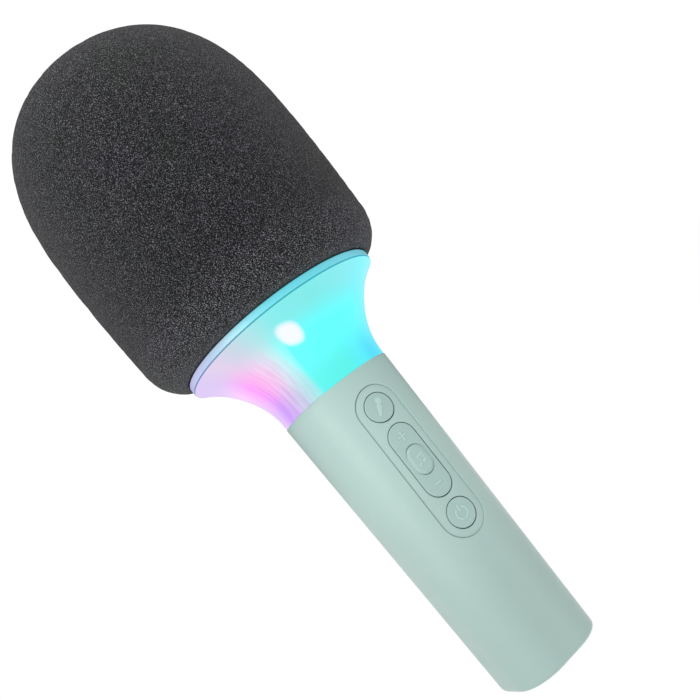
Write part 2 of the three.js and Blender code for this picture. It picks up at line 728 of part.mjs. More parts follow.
function basketCage() {
  const dome = (radius, height, steps) =>
    Array.from({ length: steps + 1 }, (_, i) => {
      const angle = (i / steps) * (Math.PI / 2);
      const across = i === steps ? 0 : radius * Math.cos(angle);
      return [across, CAGE_DOME_Z + height * Math.sin(angle)];
    });
  const inner = dome(CAGE_RADIUS - CAGE_WALL, CAGE_DOME_HEIGHT - CAGE_WALL, 5).reverse();
  const shell = revolved([
    ...inner,
    [CAGE_RADIUS - CAGE_WALL, CAGE_BOTTOM],
    [CAGE_RADIUS, CAGE_BOTTOM],
    ...dome(CAGE_RADIUS, CAGE_DOME_HEIGHT, 5),
  ]);
  const tiers = [
    { width: 12, bottom: 145, top: 167 },
    { width: 12, bottom: 173, top: 195 },
    { width: 9, bottom: 200.5, top: 213 },
  ];
  const windows = tiers.flatMap(({ width, bottom, top }) =>
    Array.from({ length: CAGE_WINDOW_PAIRS }, (_, i) => {
      const angle = (i / CAGE_WINDOW_PAIRS) * Math.PI;
      const bar = new THREE.BoxGeometry(2 * CAGE_RADIUS + 4, width, top - bottom);
      return solid(bar.rotateZ(angle).translate(0, 0, (bottom + top) / 2));
    }),
  );
  const crownHoles = Array.from({ length: CROWN_HOLE_COUNT }, (_, i) => {
    const angle = (i / CROWN_HOLE_COUNT) * 2 * Math.PI;
    const x = CROWN_HOLE_CIRCLE * Math.cos(angle);
    const y = CROWN_HOLE_CIRCLE * Math.sin(angle);
    return post(CROWN_HOLE_RADIUS, SPIDER_Z + 5, TOTAL_LENGTH, x, y, ARC_FACETS);
  });
  const half = SPIDER_LENGTH / 2;
  const low = SPIDER_Z - SPIDER_THICKNESS / 2;
  const high = SPIDER_Z + SPIDER_THICKNESS / 2;
  const spider = joined(
    block([-half, -SPIDER_WIDTH / 2, low], [half, SPIDER_WIDTH / 2, high]),
    block([-SPIDER_WIDTH / 2, -half, low], [SPIDER_WIDTH / 2, half, high]),
  );
  const bore = post(SPIDER_BORE, low - PAST, high + PAST);
  return cut(joined(cut(shell, ...windows, ...crownHoles), spider), bore);
}

function capsuleHolder() {
  const bottom = SPIDER_Z + SPIDER_THICKNESS / 2 + 0.2;
  const inner = CAPSULE_RADIUS + 0.3;
  return revolved(
    [
      [SPIDER_BORE, bottom],
      [HOLDER_RADIUS, bottom],
      [HOLDER_RADIUS, bottom + HOLDER_HEIGHT],
      [inner, bottom + HOLDER_HEIGHT],
      [inner, bottom + HOLDER_FLOOR],
      [SPIDER_BORE, bottom + HOLDER_FLOOR],
    ],
    CAPSULE_FACETS,
  );
}

function microphoneCapsule() {
  const bottom = SPIDER_Z + SPIDER_THICKNESS / 2 + HOLDER_FLOOR + 0.5;
  const top = bottom + CAPSULE_HEIGHT;
  const can = post(CAPSULE_RADIUS, bottom, top, 0, 0, CAPSULE_FACETS);
  return joined(can, post(CAPSULE_GRILLE_RADIUS, top - 1, top + 0.4, 0, 0, CAPSULE_FACETS));
}

function microphoneLead() {
  return leadAlong(
    [
      [0, 0, 219.6],
      [0, 0, 213],
      [0, 5, 205],
      [0, 18, 197],
      [0, 28, 188],
      [0, LEAD_CIRCLE_RADIUS, 177],
      [0, LEAD_CIRCLE_RADIUS, 158],
      [0, LEAD_CIRCLE_RADIUS, 140],
      [0, LEAD_CIRCLE_RADIUS, 135.8],
      [0, 28.6, 132.9],
      [0, 23, 129.5],
      [0, 14, 119],
      [0, 5, 109],
      [0, 2.2, 103.5],
      [1.5, -2, 100],
      [4, -6.9, 97.5],
      [4, -8.2, 94],
    ],
    MICROPHONE_LEAD_STEPS,
  );
}

// ---------------------------------------------------------------- loudspeaker

function speakerScrewPlaces() {
  return Array.from({ length: 4 }, (_, i) => {
    const angle = (i + 0.5) * (Math.PI / 2);
    return [SPEAKER_SCREW_CIRCLE * Math.cos(angle), SPEAKER_SCREW_CIRCLE * Math.sin(angle)];
  });
}

// The pressed basket: a floor, a sloping wall and a flat rim with four screw holes.
function speakerFrame() {
  const frame = revolved([
    [9, FRAME_BOTTOM],
    [14.5, FRAME_BOTTOM],
    [24.2, FRAME_RIM_BOTTOM],
    [29.3, FRAME_RIM_BOTTOM],
    [29.3, FRAME_RIM_BOTTOM + 1.2],
    [24.6, FRAME_RIM_BOTTOM + 1.2],
    [14.2, FRAME_BOTTOM + 0.9],
    [9, FRAME_BOTTOM + 0.9],
  ]);
  const holes = speakerScrewPlaces().map(([x, y]) =>
    post(1.05, FRAME_RIM_BOTTOM - PAST, FRAME_RIM_BOTTOM + 2 * PAST, x, y),
  );
  return cut(frame, ...holes);
}

function speakerMagnet() {
  const top = MAGNET_BOTTOM + MAGNET_HEIGHT;
  const ring = post(MAGNET_RADIUS, MAGNET_BOTTOM, top, 0, 0, INNER_FACETS);
  return joined(ring, post(POLE_PLATE_RADIUS, top - 1, top + POLE_PLATE_HEIGHT, 0, 0, INNER_FACETS));
}

// The moving part: the cone's underside, its rolled surround, and back over the top to the dust cap.
function speakerCone() {
  const underside = [
    [0, -3.9],
    [7, -4.1],
    [21, -0.4],
    [22, 0.4],
    [23.3, 0.9],
    [24.5, 0.4],
    [24.9, 0],
    [25.4, 0],
  ];
  const top = [
    [24.9, 0.9],
    [23.3, 1.5],
    [21.6, 1],
    [20.8, 0.3],
    [8, -2.9],
    [5, -1.6],
    [0, -0.9],
  ];
  return revolved([...underside, ...top].map(([radius, rise]) => [radius, CONE_RIM_BOTTOM + rise]));
}

function speakerScrew([x, y]) {
  const seat = FRAME_RIM_BOTTOM + 1.4;
  return joined(post(1.4, seat, seat + 1, x, y), post(0.8, SPEAKER_SCREW_BOTTOM, seat + 0.2, x, y));
}

// ---------------------------------------------------------------- assembly

const microphone = new THREE.Group();
const handle = new THREE.Group();
const electronics = new THREE.Group();
const neck = new THREE.Group();
const head = new THREE.Group();
microphone.add(handle, electronics, neck, head);

function addMesh(group, name, material, body) {
  const mesh = new THREE.Mesh(geometryOf(body), MATERIALS[material]);
  mesh.name = name;
  group.add(mesh);
  return mesh;
}

addMesh(handle, "handle_barrel", "sage", handleBarrel());
addMesh(handle, "control_panel", "sage", controlPanel());
addMesh(handle, "effect_key", "key", roundKey(PANEL_Z + KEY_SPACING));
addMesh(handle, "volume_rocker", "key", volumeRocker());
addMesh(handle, "mode_key", "key", modeKey());
addMesh(handle, "power_key", "key", roundKey(PANEL_Z - KEY_SPACING));
addMesh(handle, "tail_cap", "sage", tailCap());
[-1, 1].forEach((sign, i) => addMesh(handle, `tail_cap_screw_${i + 1}`, "steel", tailCapScrew(sign)));

const SWITCH_HEIGHTS = {
  effect: PANEL_Z + KEY_SPACING,
  plus: PANEL_Z + VOLUME_SWITCH_OFFSET,
  mode: PANEL_Z,
  minus: PANEL_Z - VOLUME_SWITCH_OFFSET,
  power: PANEL_Z - KEY_SPACING,
};
for (const [name, z] of Object.entries(SWITCH_HEIGHTS)) {
  addMesh(electronics, `${name}_switch`, "chip", switchBody(z));
  addMesh(electronics, `${name}_switch_stem`, "white", switchStem(z));
}
addMesh(electronics, "main_board", "board", mainBoard());
BOARD_SCREW_HEIGHTS.forEach((z, row) =>
  [-1, 1].forEach((sign, side) =>
    addMesh(electronics, `board_screw_${2 * row + side + 1}`, "steel", boardScrew(sign, z)),
  ),
);
addMesh(electronics, "inner_chassis", "basket", innerChassis());
addMesh(electronics, "battery_cell", "cell", batteryCell());
addMesh(electronics, "battery_connector", "white", boardBackPart(-5, 95, 6, 4.5, 3));
addMesh(electronics, "wireless_module", "chip", boardBackPart(0, 75, 12, 15, 1.7));
addMesh(electronics, "amplifier_chip", "chip", boardBackPart(0, 56, 6, 8, 1.5));
addMesh(electronics, "charging_board", "board", chargingBoard());
addMesh(electronics, "charging_socket", "steel", chargingSocket());
addMesh(electronics, "charging_lead", "lead", chargingLead());

addMesh(neck, "neck_diffuser", "clear", neckDiffuser());
addMesh(neck, "light_guide", "frosted", lightGuide());
addMesh(neck, "diffuser_collar", "clear", diffuserCollar());
addMesh(neck, "light_board", "board", lightBoard());
for (let i = 0; i < LIGHT_COUNT; i += 1) {
  const angle = ((i + 0.5) / LIGHT_COUNT) * 2 * Math.PI;
  const emitter = addMesh(neck, `light_emitter_${i + 1}`, "light", lightEmitter());
  emitter.rotation.z = angle;
  emitter.position.set(LIGHT_CIRCLE_RADIUS * Math.cos(angle), LIGHT_CIRCLE_RADIUS * Math.sin(angle), 0);
}

addMesh(head, "foam_windscreen", "foam", foamWindscreen());
addMesh(head, "basket_base", "basket", basketBase());
addMesh(head, "basket_cage", "basket", basketCage());
addMesh(head, "capsule_holder", "rubber", capsuleHolder());
addMesh(head, "microphone_capsule", "steel", microphoneCapsule());
addMesh(head, "microphone_lead", "lead", microphoneLead());
addMesh(head, "speaker_frame", "steel", speakerFrame());
addMesh(head, "speaker_magnet", "magnet", speakerMagnet());
addMesh(head, "speaker_cone", "cone", speakerCone());
speakerScrewPlaces().forEach((place, i) => {
  addMesh(head, `speaker_screw_${i + 1}`, "steel", speakerScrew(place));
});

export default microphone;
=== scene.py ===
"""Toy microphone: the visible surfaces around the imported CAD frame.

The mesh functions work in millimetres in the row frame and scale to metres when a piece is made.
"""

import json
import math

import bmesh
import bpy
from mathutils import Matrix, Vector, noise


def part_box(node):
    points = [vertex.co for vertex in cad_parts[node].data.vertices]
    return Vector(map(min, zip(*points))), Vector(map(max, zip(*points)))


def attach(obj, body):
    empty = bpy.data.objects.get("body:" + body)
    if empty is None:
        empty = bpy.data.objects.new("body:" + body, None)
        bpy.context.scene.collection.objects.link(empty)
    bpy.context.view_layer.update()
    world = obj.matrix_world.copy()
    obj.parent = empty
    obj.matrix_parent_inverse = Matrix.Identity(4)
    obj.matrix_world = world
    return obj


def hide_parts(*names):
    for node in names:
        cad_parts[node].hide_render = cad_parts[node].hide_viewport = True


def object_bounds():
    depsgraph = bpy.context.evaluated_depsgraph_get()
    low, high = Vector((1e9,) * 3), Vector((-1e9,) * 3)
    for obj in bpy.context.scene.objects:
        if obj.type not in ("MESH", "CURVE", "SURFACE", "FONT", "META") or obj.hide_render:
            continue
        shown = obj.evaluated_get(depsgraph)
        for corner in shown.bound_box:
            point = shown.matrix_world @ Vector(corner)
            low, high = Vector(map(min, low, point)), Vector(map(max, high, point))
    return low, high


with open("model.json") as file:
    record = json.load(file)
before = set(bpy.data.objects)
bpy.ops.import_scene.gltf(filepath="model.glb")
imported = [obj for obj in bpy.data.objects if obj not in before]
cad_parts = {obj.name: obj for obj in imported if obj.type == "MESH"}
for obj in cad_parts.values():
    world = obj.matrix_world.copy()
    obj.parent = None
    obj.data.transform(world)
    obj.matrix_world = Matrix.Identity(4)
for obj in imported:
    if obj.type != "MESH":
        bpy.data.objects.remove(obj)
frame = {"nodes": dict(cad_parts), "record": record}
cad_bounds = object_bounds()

MM = 0.001

# ---- dimensions, in millimetres

# The handle's taper: a rounded square at the tail that becomes a circle at the top.
HANDLE_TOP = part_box("handle_barrel")[1].z / MM
TOP_HALF_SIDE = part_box("handle_barrel")[1].x / MM
TAIL_HALF_SIDE = 16.1
TAIL_CORNER_RADIUS = 12.0
TOP_CORNER_RADIUS = TOP_HALF_SIDE - 0.3
HANDLE_WALL = 2.0
TAIL_FILLET = 1.8
TAIL_LIP = 3.1
TAIL_LIP_HEIGHT = 3.0
RIM_EDGE = 0.12

# The control panel and its keys.
PANEL_LOW, PANEL_HIGH = (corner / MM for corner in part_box("control_panel"))
PANEL_Z = (PANEL_LOW.z + PANEL_HIGH.z) / 2
PANEL_RADIUS = PANEL_HIGH.x
PANEL_SPREAD = (PANEL_HIGH.z - PANEL_LOW.z) / 2 - PANEL_RADIUS
OPENING_GAP = 0.08
OPENING_EDGE = 0.35
PANEL_SINK = 0.4
PANEL_THICKNESS = 1.2
PANEL_EDGE = 0.15
# The inlay sits a little off the middle of its opening, to the right and down.
PANEL_SHIFT = (0.07, -0.04)
KEY_RADIUS = 4.62
KEY_GAP = 0.26
KEY_SINK = 0.2
KEY_THICKNESS = 2.2
KEY_EDGE = 0.25
BACK_EDGE = 0.15
ROCKER_SPREAD = 8.2
MODE_RADIUS = 3.3
MODE_SPREAD = 1.6
MODE_SIDE_GAP = 0.02
MODE_END_GAP = 0.17
MODE_RISE = 0.55
MODE_SHOULDER = 1.15
EFFECT_Z = PANEL_Z + PANEL_SPREAD
POWER_Z = PANEL_Z - PANEL_SPREAD
VOLUME_OFFSET = 8.7

# The neck and the head.
NECK_LOW, NECK_HIGH = (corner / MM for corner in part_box("neck_diffuser"))
NECK_BOTTOM = HANDLE_TOP + 0.08
NECK_RADIUS = 20.05
NECK_FLARE = 16.25
NECK_FLARE_START = 105.4
NECK_FLARE_HEIGHT = 28.0
NECK_FLARE_POWER = 2.15
NECK_LIP_START = 126.6
NECK_LIP_SPREAD = 1.25
NECK_LIP_RADIUS = 36.1
NECK_TOP = 132.0
NECK_WALL = 1.8
SEAM_LOW = 132.15
SEAM_HIGH = 132.55
SEAM_DEPTH = 0.7
RIM_RADIUS = 36.3
RIM_BORE = 34.2
SPIGOT_OUTER = 17.7
SPIGOT_INNER = 16.1
FOAM_LOW, FOAM_HIGH = (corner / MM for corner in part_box("foam_windscreen"))
FOAM_MOUTH_RADIUS = 35.0
FOAM_SHOULDER_Z = 148.0
FOAM_SHOULDER_RADIUS = 45.2
FOAM_WIDEST_Z = 186.6
FOAM_DOME_POWER = 2.65
FOAM_BORE = 36.3
FOAM_BORE_DOME_Z = 198.0
FOAM_BORE_DOME_HEIGHT = 36.0

# ---- camera

# Seen from the front left and slightly below, with the head leaning to the upper left of the picture.
CAMERA_PLACE = Vector((-0.1023, -0.2467, 0.0780))
CAMERA_FORWARD = Vector((0.4211, 0.8976, 0.1306))
CAMERA_UP = Vector((0.5273, -0.3594, 0.7700))
SENSOR_WIDTH = 36.0
LENS = 42.45


def camera_axes():
    """The camera's right, up and forward directions, square to each other."""
    forward = CAMERA_FORWARD.normalized()
    right = forward.cross(CAMERA_UP).normalized()
    return right, right.cross(forward).normalized(), forward


def add_camera():
    right, up, forward = camera_axes()
    data = bpy.data.cameras.new("camera")
    data.sensor_width = SENSOR_WIDTH
    data.lens = LENS
    data.clip_start = 0.01
    camera = bpy.data.objects.new("camera", data)
    turn = Matrix((right, up, -forward)).transposed().to_4x4()
    camera.matrix_world = Matrix.Translation(CAMERA_PLACE) @ turn
    bpy.context.collection.objects.link(camera)
    bpy.context.scene.camera = camera


# ---- mesh helpers


def finish_mesh(name, mesh, material, body, replaced=()):
    """An object from a bmesh in millimetres, smooth shaded, riding on a body."""
    bmesh.ops.remove_doubles(mesh, verts=mesh.verts, dist=1e-4)
    bmesh.ops.recalc_face_normals(mesh, faces=mesh.faces)
    bmesh.ops.scale(mesh, vec=Vector((MM, MM, MM)), verts=mesh.verts)
    for face in mesh.faces:
        face.smooth = True
    data = bpy.data.meshes.new(name)
    mesh.to_mesh(data)
    mesh.free()
    data.materials.append(material)
    piece = bpy.data.objects.new(name, data)
    bpy.context.collection.objects.link(piece)
    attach(piece, body)
    if replaced:
        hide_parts(*replaced)
    return piece


def spaced(start, end, steps):
    """Evenly spaced values, with both the start and the end."""
    return [start + (end - start) * k / steps for k in range(steps + 1)]


def grid_faces(mesh, rows, close_rows=False):
    """Quads between rows of vertices, each row a closed ring."""
    pairs = list(zip(rows, rows[1:]))
    if close_rows:
        pairs.append((rows[-1], rows[0]))
    for lower, upper in pairs:
        count = len(lower)
        for i in range(count):
            j = (i + 1) % count
            mesh.faces.new((lower[i], lower[j], upper[j], upper[i]))


def ring_points(radius, z, segments):
    turns = (2 * math.pi * i / segments for i in range(segments))
    return [(radius * math.cos(a), radius * math.sin(a), z) for a in turns]


def close_with_fan(mesh, ring, middle):
    tip = mesh.verts.new(middle)
    for i, vertex in enumerate(ring):
        mesh.faces.new((vertex, ring[(i + 1) % len(ring)], tip))


def lathe_mesh(profile, segments):
    """A body of revolution from (radius, height) points: a closed loop, or a line from axis to axis."""
    mesh = bmesh.new()
    on_axis = profile[0][0] < 1e-6
    off_axis = profile[1:-1] if on_axis else profile
    rows = [[mesh.verts.new(p) for p in ring_points(r, z, segments)] for r, z in off_axis]
    grid_faces(mesh, rows, close_rows=not on_axis)
    if on_axis:
        for row, (_, z) in ((rows[0], profile[0]), (rows[-1], profile[-1])):
            close_with_fan(mesh, row, (0, 0, z))
    return mesh


ROUNDING_STEPS = 5


def rounded_profile(corners):
    """A closed profile whose corners, given as (radius, height, rounding), are rounded by arcs."""
    points = []
    count = len(corners)
    for i, (r, z, rounding) in enumerate(corners):
        here = Vector((r, z))
        if rounding <= 0:
            points.append((r, z))
            continue
        before = Vector(corners[i - 1][:2]) - here
        after = Vector(corners[(i + 1) % count][:2]) - here
        start = here + before.normalized() * rounding
        end = here + after.normalized() * rounding
        for k in range(ROUNDING_STEPS + 1):
            t = k / ROUNDING_STEPS
            point = start.lerp(here, t).lerp(here.lerp(end, t), t)
            points.append((point.x, point.y))
    return points


# ---- the handle's surface


def half_side(z):
    return TAIL_HALF_SIDE + (TOP_HALF_SIDE - TAIL_HALF_SIDE) * z / HANDLE_TOP


def corner_radius(z):
    return TAIL_CORNER_RADIUS + (TOP_CORNER_RADIUS - TAIL_CORNER_RADIUS) * z / HANDLE_TOP


def section_radius(angle, z, depth):
    """Distance from the axis to the handle's surface, or to a layer under it."""
    side = half_side(z) - depth
    radius = corner_radius(z) - depth
    across, along = sorted((abs(math.cos(angle)), abs(math.sin(angle))))
    corner = side - radius
    if side * across / along <= corner:
        return side / along
    reach = corner * (across + along)
    return reach + math.sqrt(reach * reach - 2 * corner * corner + radius * radius)


def front_point(x, z, depth):
    """The point of the front face, or of a layer under it, at x and z."""
    corner = half_side(z) - corner_radius(z)
    radius = corner_radius(z) - depth
    beyond = max(0.0, abs(x) - corner)
    return Vector((x, -(corner + math.sqrt(radius * radius - beyond * beyond)), z))


def pill_point(x, z, centre_z, radius, spread):
    """The point of a pill outline nearest to a point outside its spine."""
    spine_z = centre_z + max(-spread, min(spread, z - centre_z))
    away = Vector((x, z - spine_z))
    away = away.normalized() * radius
    return away.x, spine_z + away.y


PILL_ARC_STEPS = 40
PILL_SIDE_STEPS = 20


def pill_ring(centre_z, radius, spread, depth):
    """(x, z, depth) points round a pill, anticlockwise seen from the front. Without a spread it is round."""
    points = []
    for end in (1, -1):
        for angle in spaced(0, math.pi, PILL_ARC_STEPS)[:-1]:
            x = end * radius * math.cos(angle)
            points.append((x, centre_z + end * (spread + radius * math.sin(angle)), depth))
        if spread > 0:
            for z in spaced(spread, -spread, PILL_SIDE_STEPS)[:-1]:
                points.append((-end * radius, centre_z + end * z, depth))
    return points


def between(a, b, share):
    return tuple(p + (q - p) * share for p, q in zip(a, b))


# ---- materials


def new_material(name):
    material = bpy.data.materials.new(name)
    material.use_nodes = True
    tree = material.node_tree
    return material, tree, tree.nodes["Principled BSDF"]


def node(tree, kind, **values):
    """A shader node with its properties and its named inputs set."""
    made = tree.nodes.new(kind)
    for key, value in values.items():
        if hasattr(made, key):
            setattr(made, key, value)
        else:
            made.inputs[key.replace("_", " ").title()].default_value = value
    return made


def feed(tree, socket, value):
    """Give a socket a fixed value, or a link from another socket."""
    if isinstance(value, bpy.types.NodeSocket):
        tree.links.new(value, socket)
    else:
        socket.default_value = value


def feed_all(tree, shader, values):
    for name, value in values.items():
        feed(tree, shader.inputs[name], value)


def colour(hex_code):
    """A linear colour from an sRGB hex code."""
    channels = [int(hex_code[i : i + 2], 16) / 255 for i in (0, 2, 4)]
    linear = [c / 12.92 if c <= 0.04045 else ((c + 0.055) / 1.055) ** 2.4 for c in channels]
    return (*linear, 1.0)


def object_place(tree):
    """Object coordinates, in metres."""
    return node(tree, "ShaderNodeTexCoord").outputs["Object"]


def noise_value(tree, place, scale, detail=2.0, roughness=0.5):
    texture = node(tree, "ShaderNodeTexNoise", scale=scale, detail=detail, roughness=roughness)
    tree.links.new(place, texture.inputs["Vector"])
    return texture.outputs["Fac"]


def ramp(tree, value, stops):
    """A colour ramp from (position, linear colour) stops."""
    made = node(tree, "ShaderNodeValToRGB")
    band = made.color_ramp
    while len(band.elements) < len(stops):
        band.elements.new(0.5)
    for element, (position, tint) in zip(band.elements, stops):
        element.position = position
        element.color = tint
    tree.links.new(value, made.inputs["Fac"])
    return made.outputs["Color"]


def grey(value):
    return (value, value, value, 1.0)


def bump(tree, height, strength, distance):
    made = node(tree, "ShaderNodeBump", strength=strength, distance=distance)
    tree.links.new(height, made.inputs["Height"])
    return made.outputs["Normal"]


def map_range(tree, value, low, high, smooth=False):
    """0 at low and below, 1 at high and above."""
    made = node(tree, "ShaderNodeMapRange", interpolation_type="SMOOTHSTEP" if smooth else "LINEAR")
    feed_all(tree, made, {"Value": value, "From Min": low, "From Max": high})
    return made.outputs["Result"]


def mix(tree, share, first, second, blend="MIX"):
    """A colour between two others, each a socket or a fixed colour."""
    made = node(tree, "ShaderNodeMix", data_type="RGBA", blend_type=blend)
    feed(tree, made.inputs["Factor"], share)
    for socket, value in zip([i for i in made.inputs if i.type == "RGBA"], (first, second)):
        feed(tree, socket, value)
    return next(o for o in made.outputs if o.type == "RGBA")


def multiply(tree, first, second):
    """The product of two colours, each a socket or a fixed colour."""
    return mix(tree, 1.0, first, second, "MULTIPLY")


def arithmetic(tree, operation, first, second):
    made = node(tree, "ShaderNodeMath", operation=operation)
    for socket, value in zip(made.inputs, (first, second)):
        feed(tree, socket, value)
    return made.outputs[0]


def scaled(tree, value, factor):
    return arithmetic(tree, "MULTIPLY", value, factor)


def added(tree, first, second):
    return arithmetic(tree, "ADD", first, second)


def axis_parts(tree, place):
    """The X, Y and Z outputs of a place."""
    parts = node(tree, "ShaderNodeSeparateXYZ")
    tree.links.new(place, parts.inputs["Vector"])
    return [parts.outputs[axis] for axis in "XYZ"]


def uneven_gloss(tree, place, scale, detail, roughness, spread):
    """A roughness that wanders by the spread to both sides of its middle."""
    stops = [(0.3, grey(roughness - spread)), (0.7, grey(roughness + spread))]
    return ramp(tree, noise_value(tree, place, scale, detail), stops)


# Heights where the painted shade towards the tail is deepest and where it ends, and the depth of moulded
# grain in metres.
TAIL_SHADE_Z = 10.0
TAIL_SHADE_END_Z = 85.0
GRAIN_HEIGHT = 0.00003


def moulded_plastic(
    name, light, dark, roughness, grain=0.00018, grain_strength=0.12, coat=0.0, shine=0.5, tail_shade=1.0
):
    """Moulded plastic: a slow drift of tone, an uneven gloss, a fine spark-eroded grain and, where asked,
    painted shade towards the tail.
    """
    material, tree, shader = new_material(name)
    place = object_place(tree)
    drift = noise_value(tree, place, 45.0, 3.0)
    tint = ramp(tree, drift, [(0.3, colour(dark)), (0.7, colour(light))])
    # Painted shade: the tone darkens towards the tail, where less light falls.
    if tail_shade < 1:
        rise = map_range(tree, axis_parts(tree, place)[2], TAIL_SHADE_Z * MM, TAIL_SHADE_END_Z * MM, smooth=True)
        tint = multiply(tree, tint, ramp(tree, rise, [(0.0, grey(tail_shade)), (1.0, grey(1.0))]))
    values = {
        "Base Color": tint,
        "Roughness": uneven_gloss(tree, place, 220.0, 3.0, roughness, 0.04),
        "Normal": bump(tree, noise_value(tree, place, 1 / grain), grain_strength, GRAIN_HEIGHT),
        "Coat Weight": coat,
        "Specular IOR Level": shine,
    }
    feed_all(tree, shader, values)
    return material


# Painted light on the foam at shares of its height: it is paler at its mouth and at its top, where more
# light falls.
FOAM_PAINTED_LIGHT = (
    (0.05, 1.0), (0.1, 0.85), (0.14, 0.63), (0.2, 0.58), (0.35, 0.6), (0.6, 0.63), (0.75, 0.66), (1.0, 0.84),
)
# Its speckle, from the pores to the tips of the struts, and the share of the coarser of its two grains.
FOAM_SPECKLE = ((0.36, "08090a"), (0.47, "1b1c1e"), (0.55, "363638"), (0.66, "88898d"))
FOAM_COARSE = 0.7


def foam_material():
    """Open-cell foam: dark pores between fine struts that catch the light, with painted light at its mouth
    and its top.
    """
    material, tree, shader = new_material("charcoal_foam")
    place = object_place(tree)
    grain = noise_value(tree, place, 3300.0, 0.5, 0.6)
    struts = noise_value(tree, place, 5400.0, 0.5, 0.5)
    drift = noise_value(tree, place, 38.0, 2.0)
    mixed = added(tree, scaled(tree, grain, FOAM_COARSE), scaled(tree, struts, 1 - FOAM_COARSE))
    speckle = ramp(tree, mixed, [(share, colour(tint)) for share, tint in FOAM_SPECKLE])
    tint = ramp(tree, drift, [(0.35, (0.92, 0.94, 0.9, 1)), (0.65, (1.0, 0.97, 1.06, 1))])
    # Painted light: the foam is paler at its mouth and at its top.
    rise = map_range(tree, axis_parts(tree, place)[2], FOAM_LOW.z * MM, FOAM_HIGH.z * MM)
    painted_end_light = ramp(tree, rise, [(share, grey(tone)) for share, tone in FOAM_PAINTED_LIGHT])
    values = {
        "Base Color": multiply(tree, speckle, multiply(tree, tint, painted_end_light)),
        "Normal": bump(tree, mixed, 0.8, 0.0006),
        "Roughness": 0.95,
        "Specular IOR Level": 0.15,
        "Sheen Weight": 0.09,
        "Sheen Roughness": 0.5,
    }
    feed_all(tree, shader, values)
    return material


# The glow's colours go round the axis from this direction, anticlockwise from above.
GLOW_FACING = math.radians(-112.5)
# Towards the sides of the neck, near -85 and 85 degrees, the pale tints add painted reflection to the glow.
NECK_GLOW_LOW = [
    (-180, "a2c4f8"), (-135, "dcb4f6"), (-85, "e4d8f6"), (-68, "e6c8fc"), (-53, "cda2fb"), (-41, "d2b4ee"),
    (-28, "c6cce2"), (-16, "aadde2"), (-10, "8ae8e6"), (-6, "5ceee8"), (25, "58efe8"), (42, "58eefa"),
    (54, "50deff"), (70, "5ce6ff"), (85, "7ce6f6"), (135, "70dcf4"), (180, "a2c4f8"),
]
NECK_GLOW_MIDDLE = [
    (-180, "a8ccfa"), (-135, "e6b0f6"), (-85, "ecccf0"), (-66, "f4bcfb"), (-52, "f79df6"), (-42, "f8b0ea"),
    (-30, "eecdec"), (-20, "cfe6ee"), (-11, "9cf6f4"), (-7, "64fcfc"), (20, "5efeff"), (55, "5efdfd"),
    (66, "66f2fc"), (85, "78e8f4"), (135, "6ce2f8"), (180, "a8ccfa"),
]
NECK_GLOW_HIGH = [
    (-180, "9cbcec"), (-135, "ceb0ea"), (-85, "ceb8e6"), (-60, "d2bfea"), (-42, "dac8e4"), (-28, "c4d0de"),
    (-16, "a8dee2"), (-2, "82e6e6"), (22, "7ae4e2"), (50, "80e6ec"), (68, "74ecf6"), (85, "86e8f2"),
    (135, "78d8f0"), (180, "9cbcec"),
]
RIM_GLOW = [
    (-180, "9cc0e6"), (-85, "c8c4ee"), (-60, "c6c8f0"), (-45, "bcc8ea"), (-28, "b2d4e8"), (-14, "96e2f0"),
    (2, "70dce8"), (25, "6edcea"), (50, "7cdcec"), (85, "6ec8d8"), (180, "9cc0e6"),
]
# A painted highlight, the glare of the emitter in front: its direction, height and half sizes, its slant and
# its soft edge.
HOT_SPOT = "f0f4fa"
HOT_SPOT_TURN = 0.5
HOT_SPOT_Z = 124.5
HOT_SPOT_HALF_TURN = 6.9
HOT_SPOT_HALF_HEIGHT = 3.1
HOT_SPOT_SLANT = 0.22
HOT_SPOT_POWER = 2.4
HOT_SPOT_RIM = (1.9, 0.3)
NECK_GLOW = 0.74
RIM_GLOW_STRENGTH = 0.42
# The heights between which the low colours give way to the middle ones, and those to the high ones.
MIDDLE_BLEND = (108.0, 119.0)
HIGH_BLEND = (121.0, 130.0)
STREAKS_ROUND = 130.0
STREAKS_PER_METRE = 60.0
STREAK_REACH = 0.022
# The streaks show from none to full between these directions in degrees, and between these heights.
STREAK_TURNS = (-10, -26)
STREAK_HEIGHTS = (127.0, 117.0)
# Painted shade in the seam between the neck's lip and the rim band.
SEAM_PAINTED_SHADE = (0.36, 0.62, 0.68, 1.0)
STREAK_TINT = (0.92, 0.83, 0.93, 1.0)


def facing_share(tree):
    """0 to 1 for directions from -180 to 180 degrees round the axis, and the height in metres."""
    turned = node(tree, "ShaderNodeMapping", vector_type="POINT")
    turned.inputs["Rotation"].default_value = (0, 0, -GLOW_FACING)
    tree.links.new(object_place(tree), turned.inputs["Vector"])
    x, y, z = axis_parts(tree, turned.outputs["Vector"])
    return map_range(tree, arithmetic(tree, "ARCTAN2", y, x), -math.pi, math.pi), z


def glow_ramp(tree, share, stops):
    """A ramp over directions in degrees, counted from the front of the glow."""
    placed = [(0.5 + degrees / 360, colour(tint)) for degrees, tint in stops]
    return ramp(tree, share, placed)


def streaked(tree, share, height):
    """The direction, wavering in fine streaks that run along the neck, and the streaks' own tint."""
    place = node(tree, "ShaderNodeCombineXYZ")
    tree.links.new(scaled(tree, share, STREAKS_ROUND), place.inputs["X"])
    tree.links.new(scaled(tree, height, STREAKS_PER_METRE), place.inputs["Y"])
    waver = noise_value(tree, place.outputs["Vector"], 1.0, 2.0, 0.6)
    wavering = added(tree, share, scaled(tree, added(tree, waver, -0.5), STREAK_REACH))
    lines = ramp(tree, waver, [(0.38, STREAK_TINT), (0.56, grey(1.0))])
    left = map_range(tree, share, *[0.5 + turn / 360 for turn in STREAK_TURNS], smooth=True)
    low = map_range(tree, height, *[z * MM for z in STREAK_HEIGHTS], smooth=True)
    return wavering, mix(tree, scaled(tree, left, low), grey(1.0), lines)


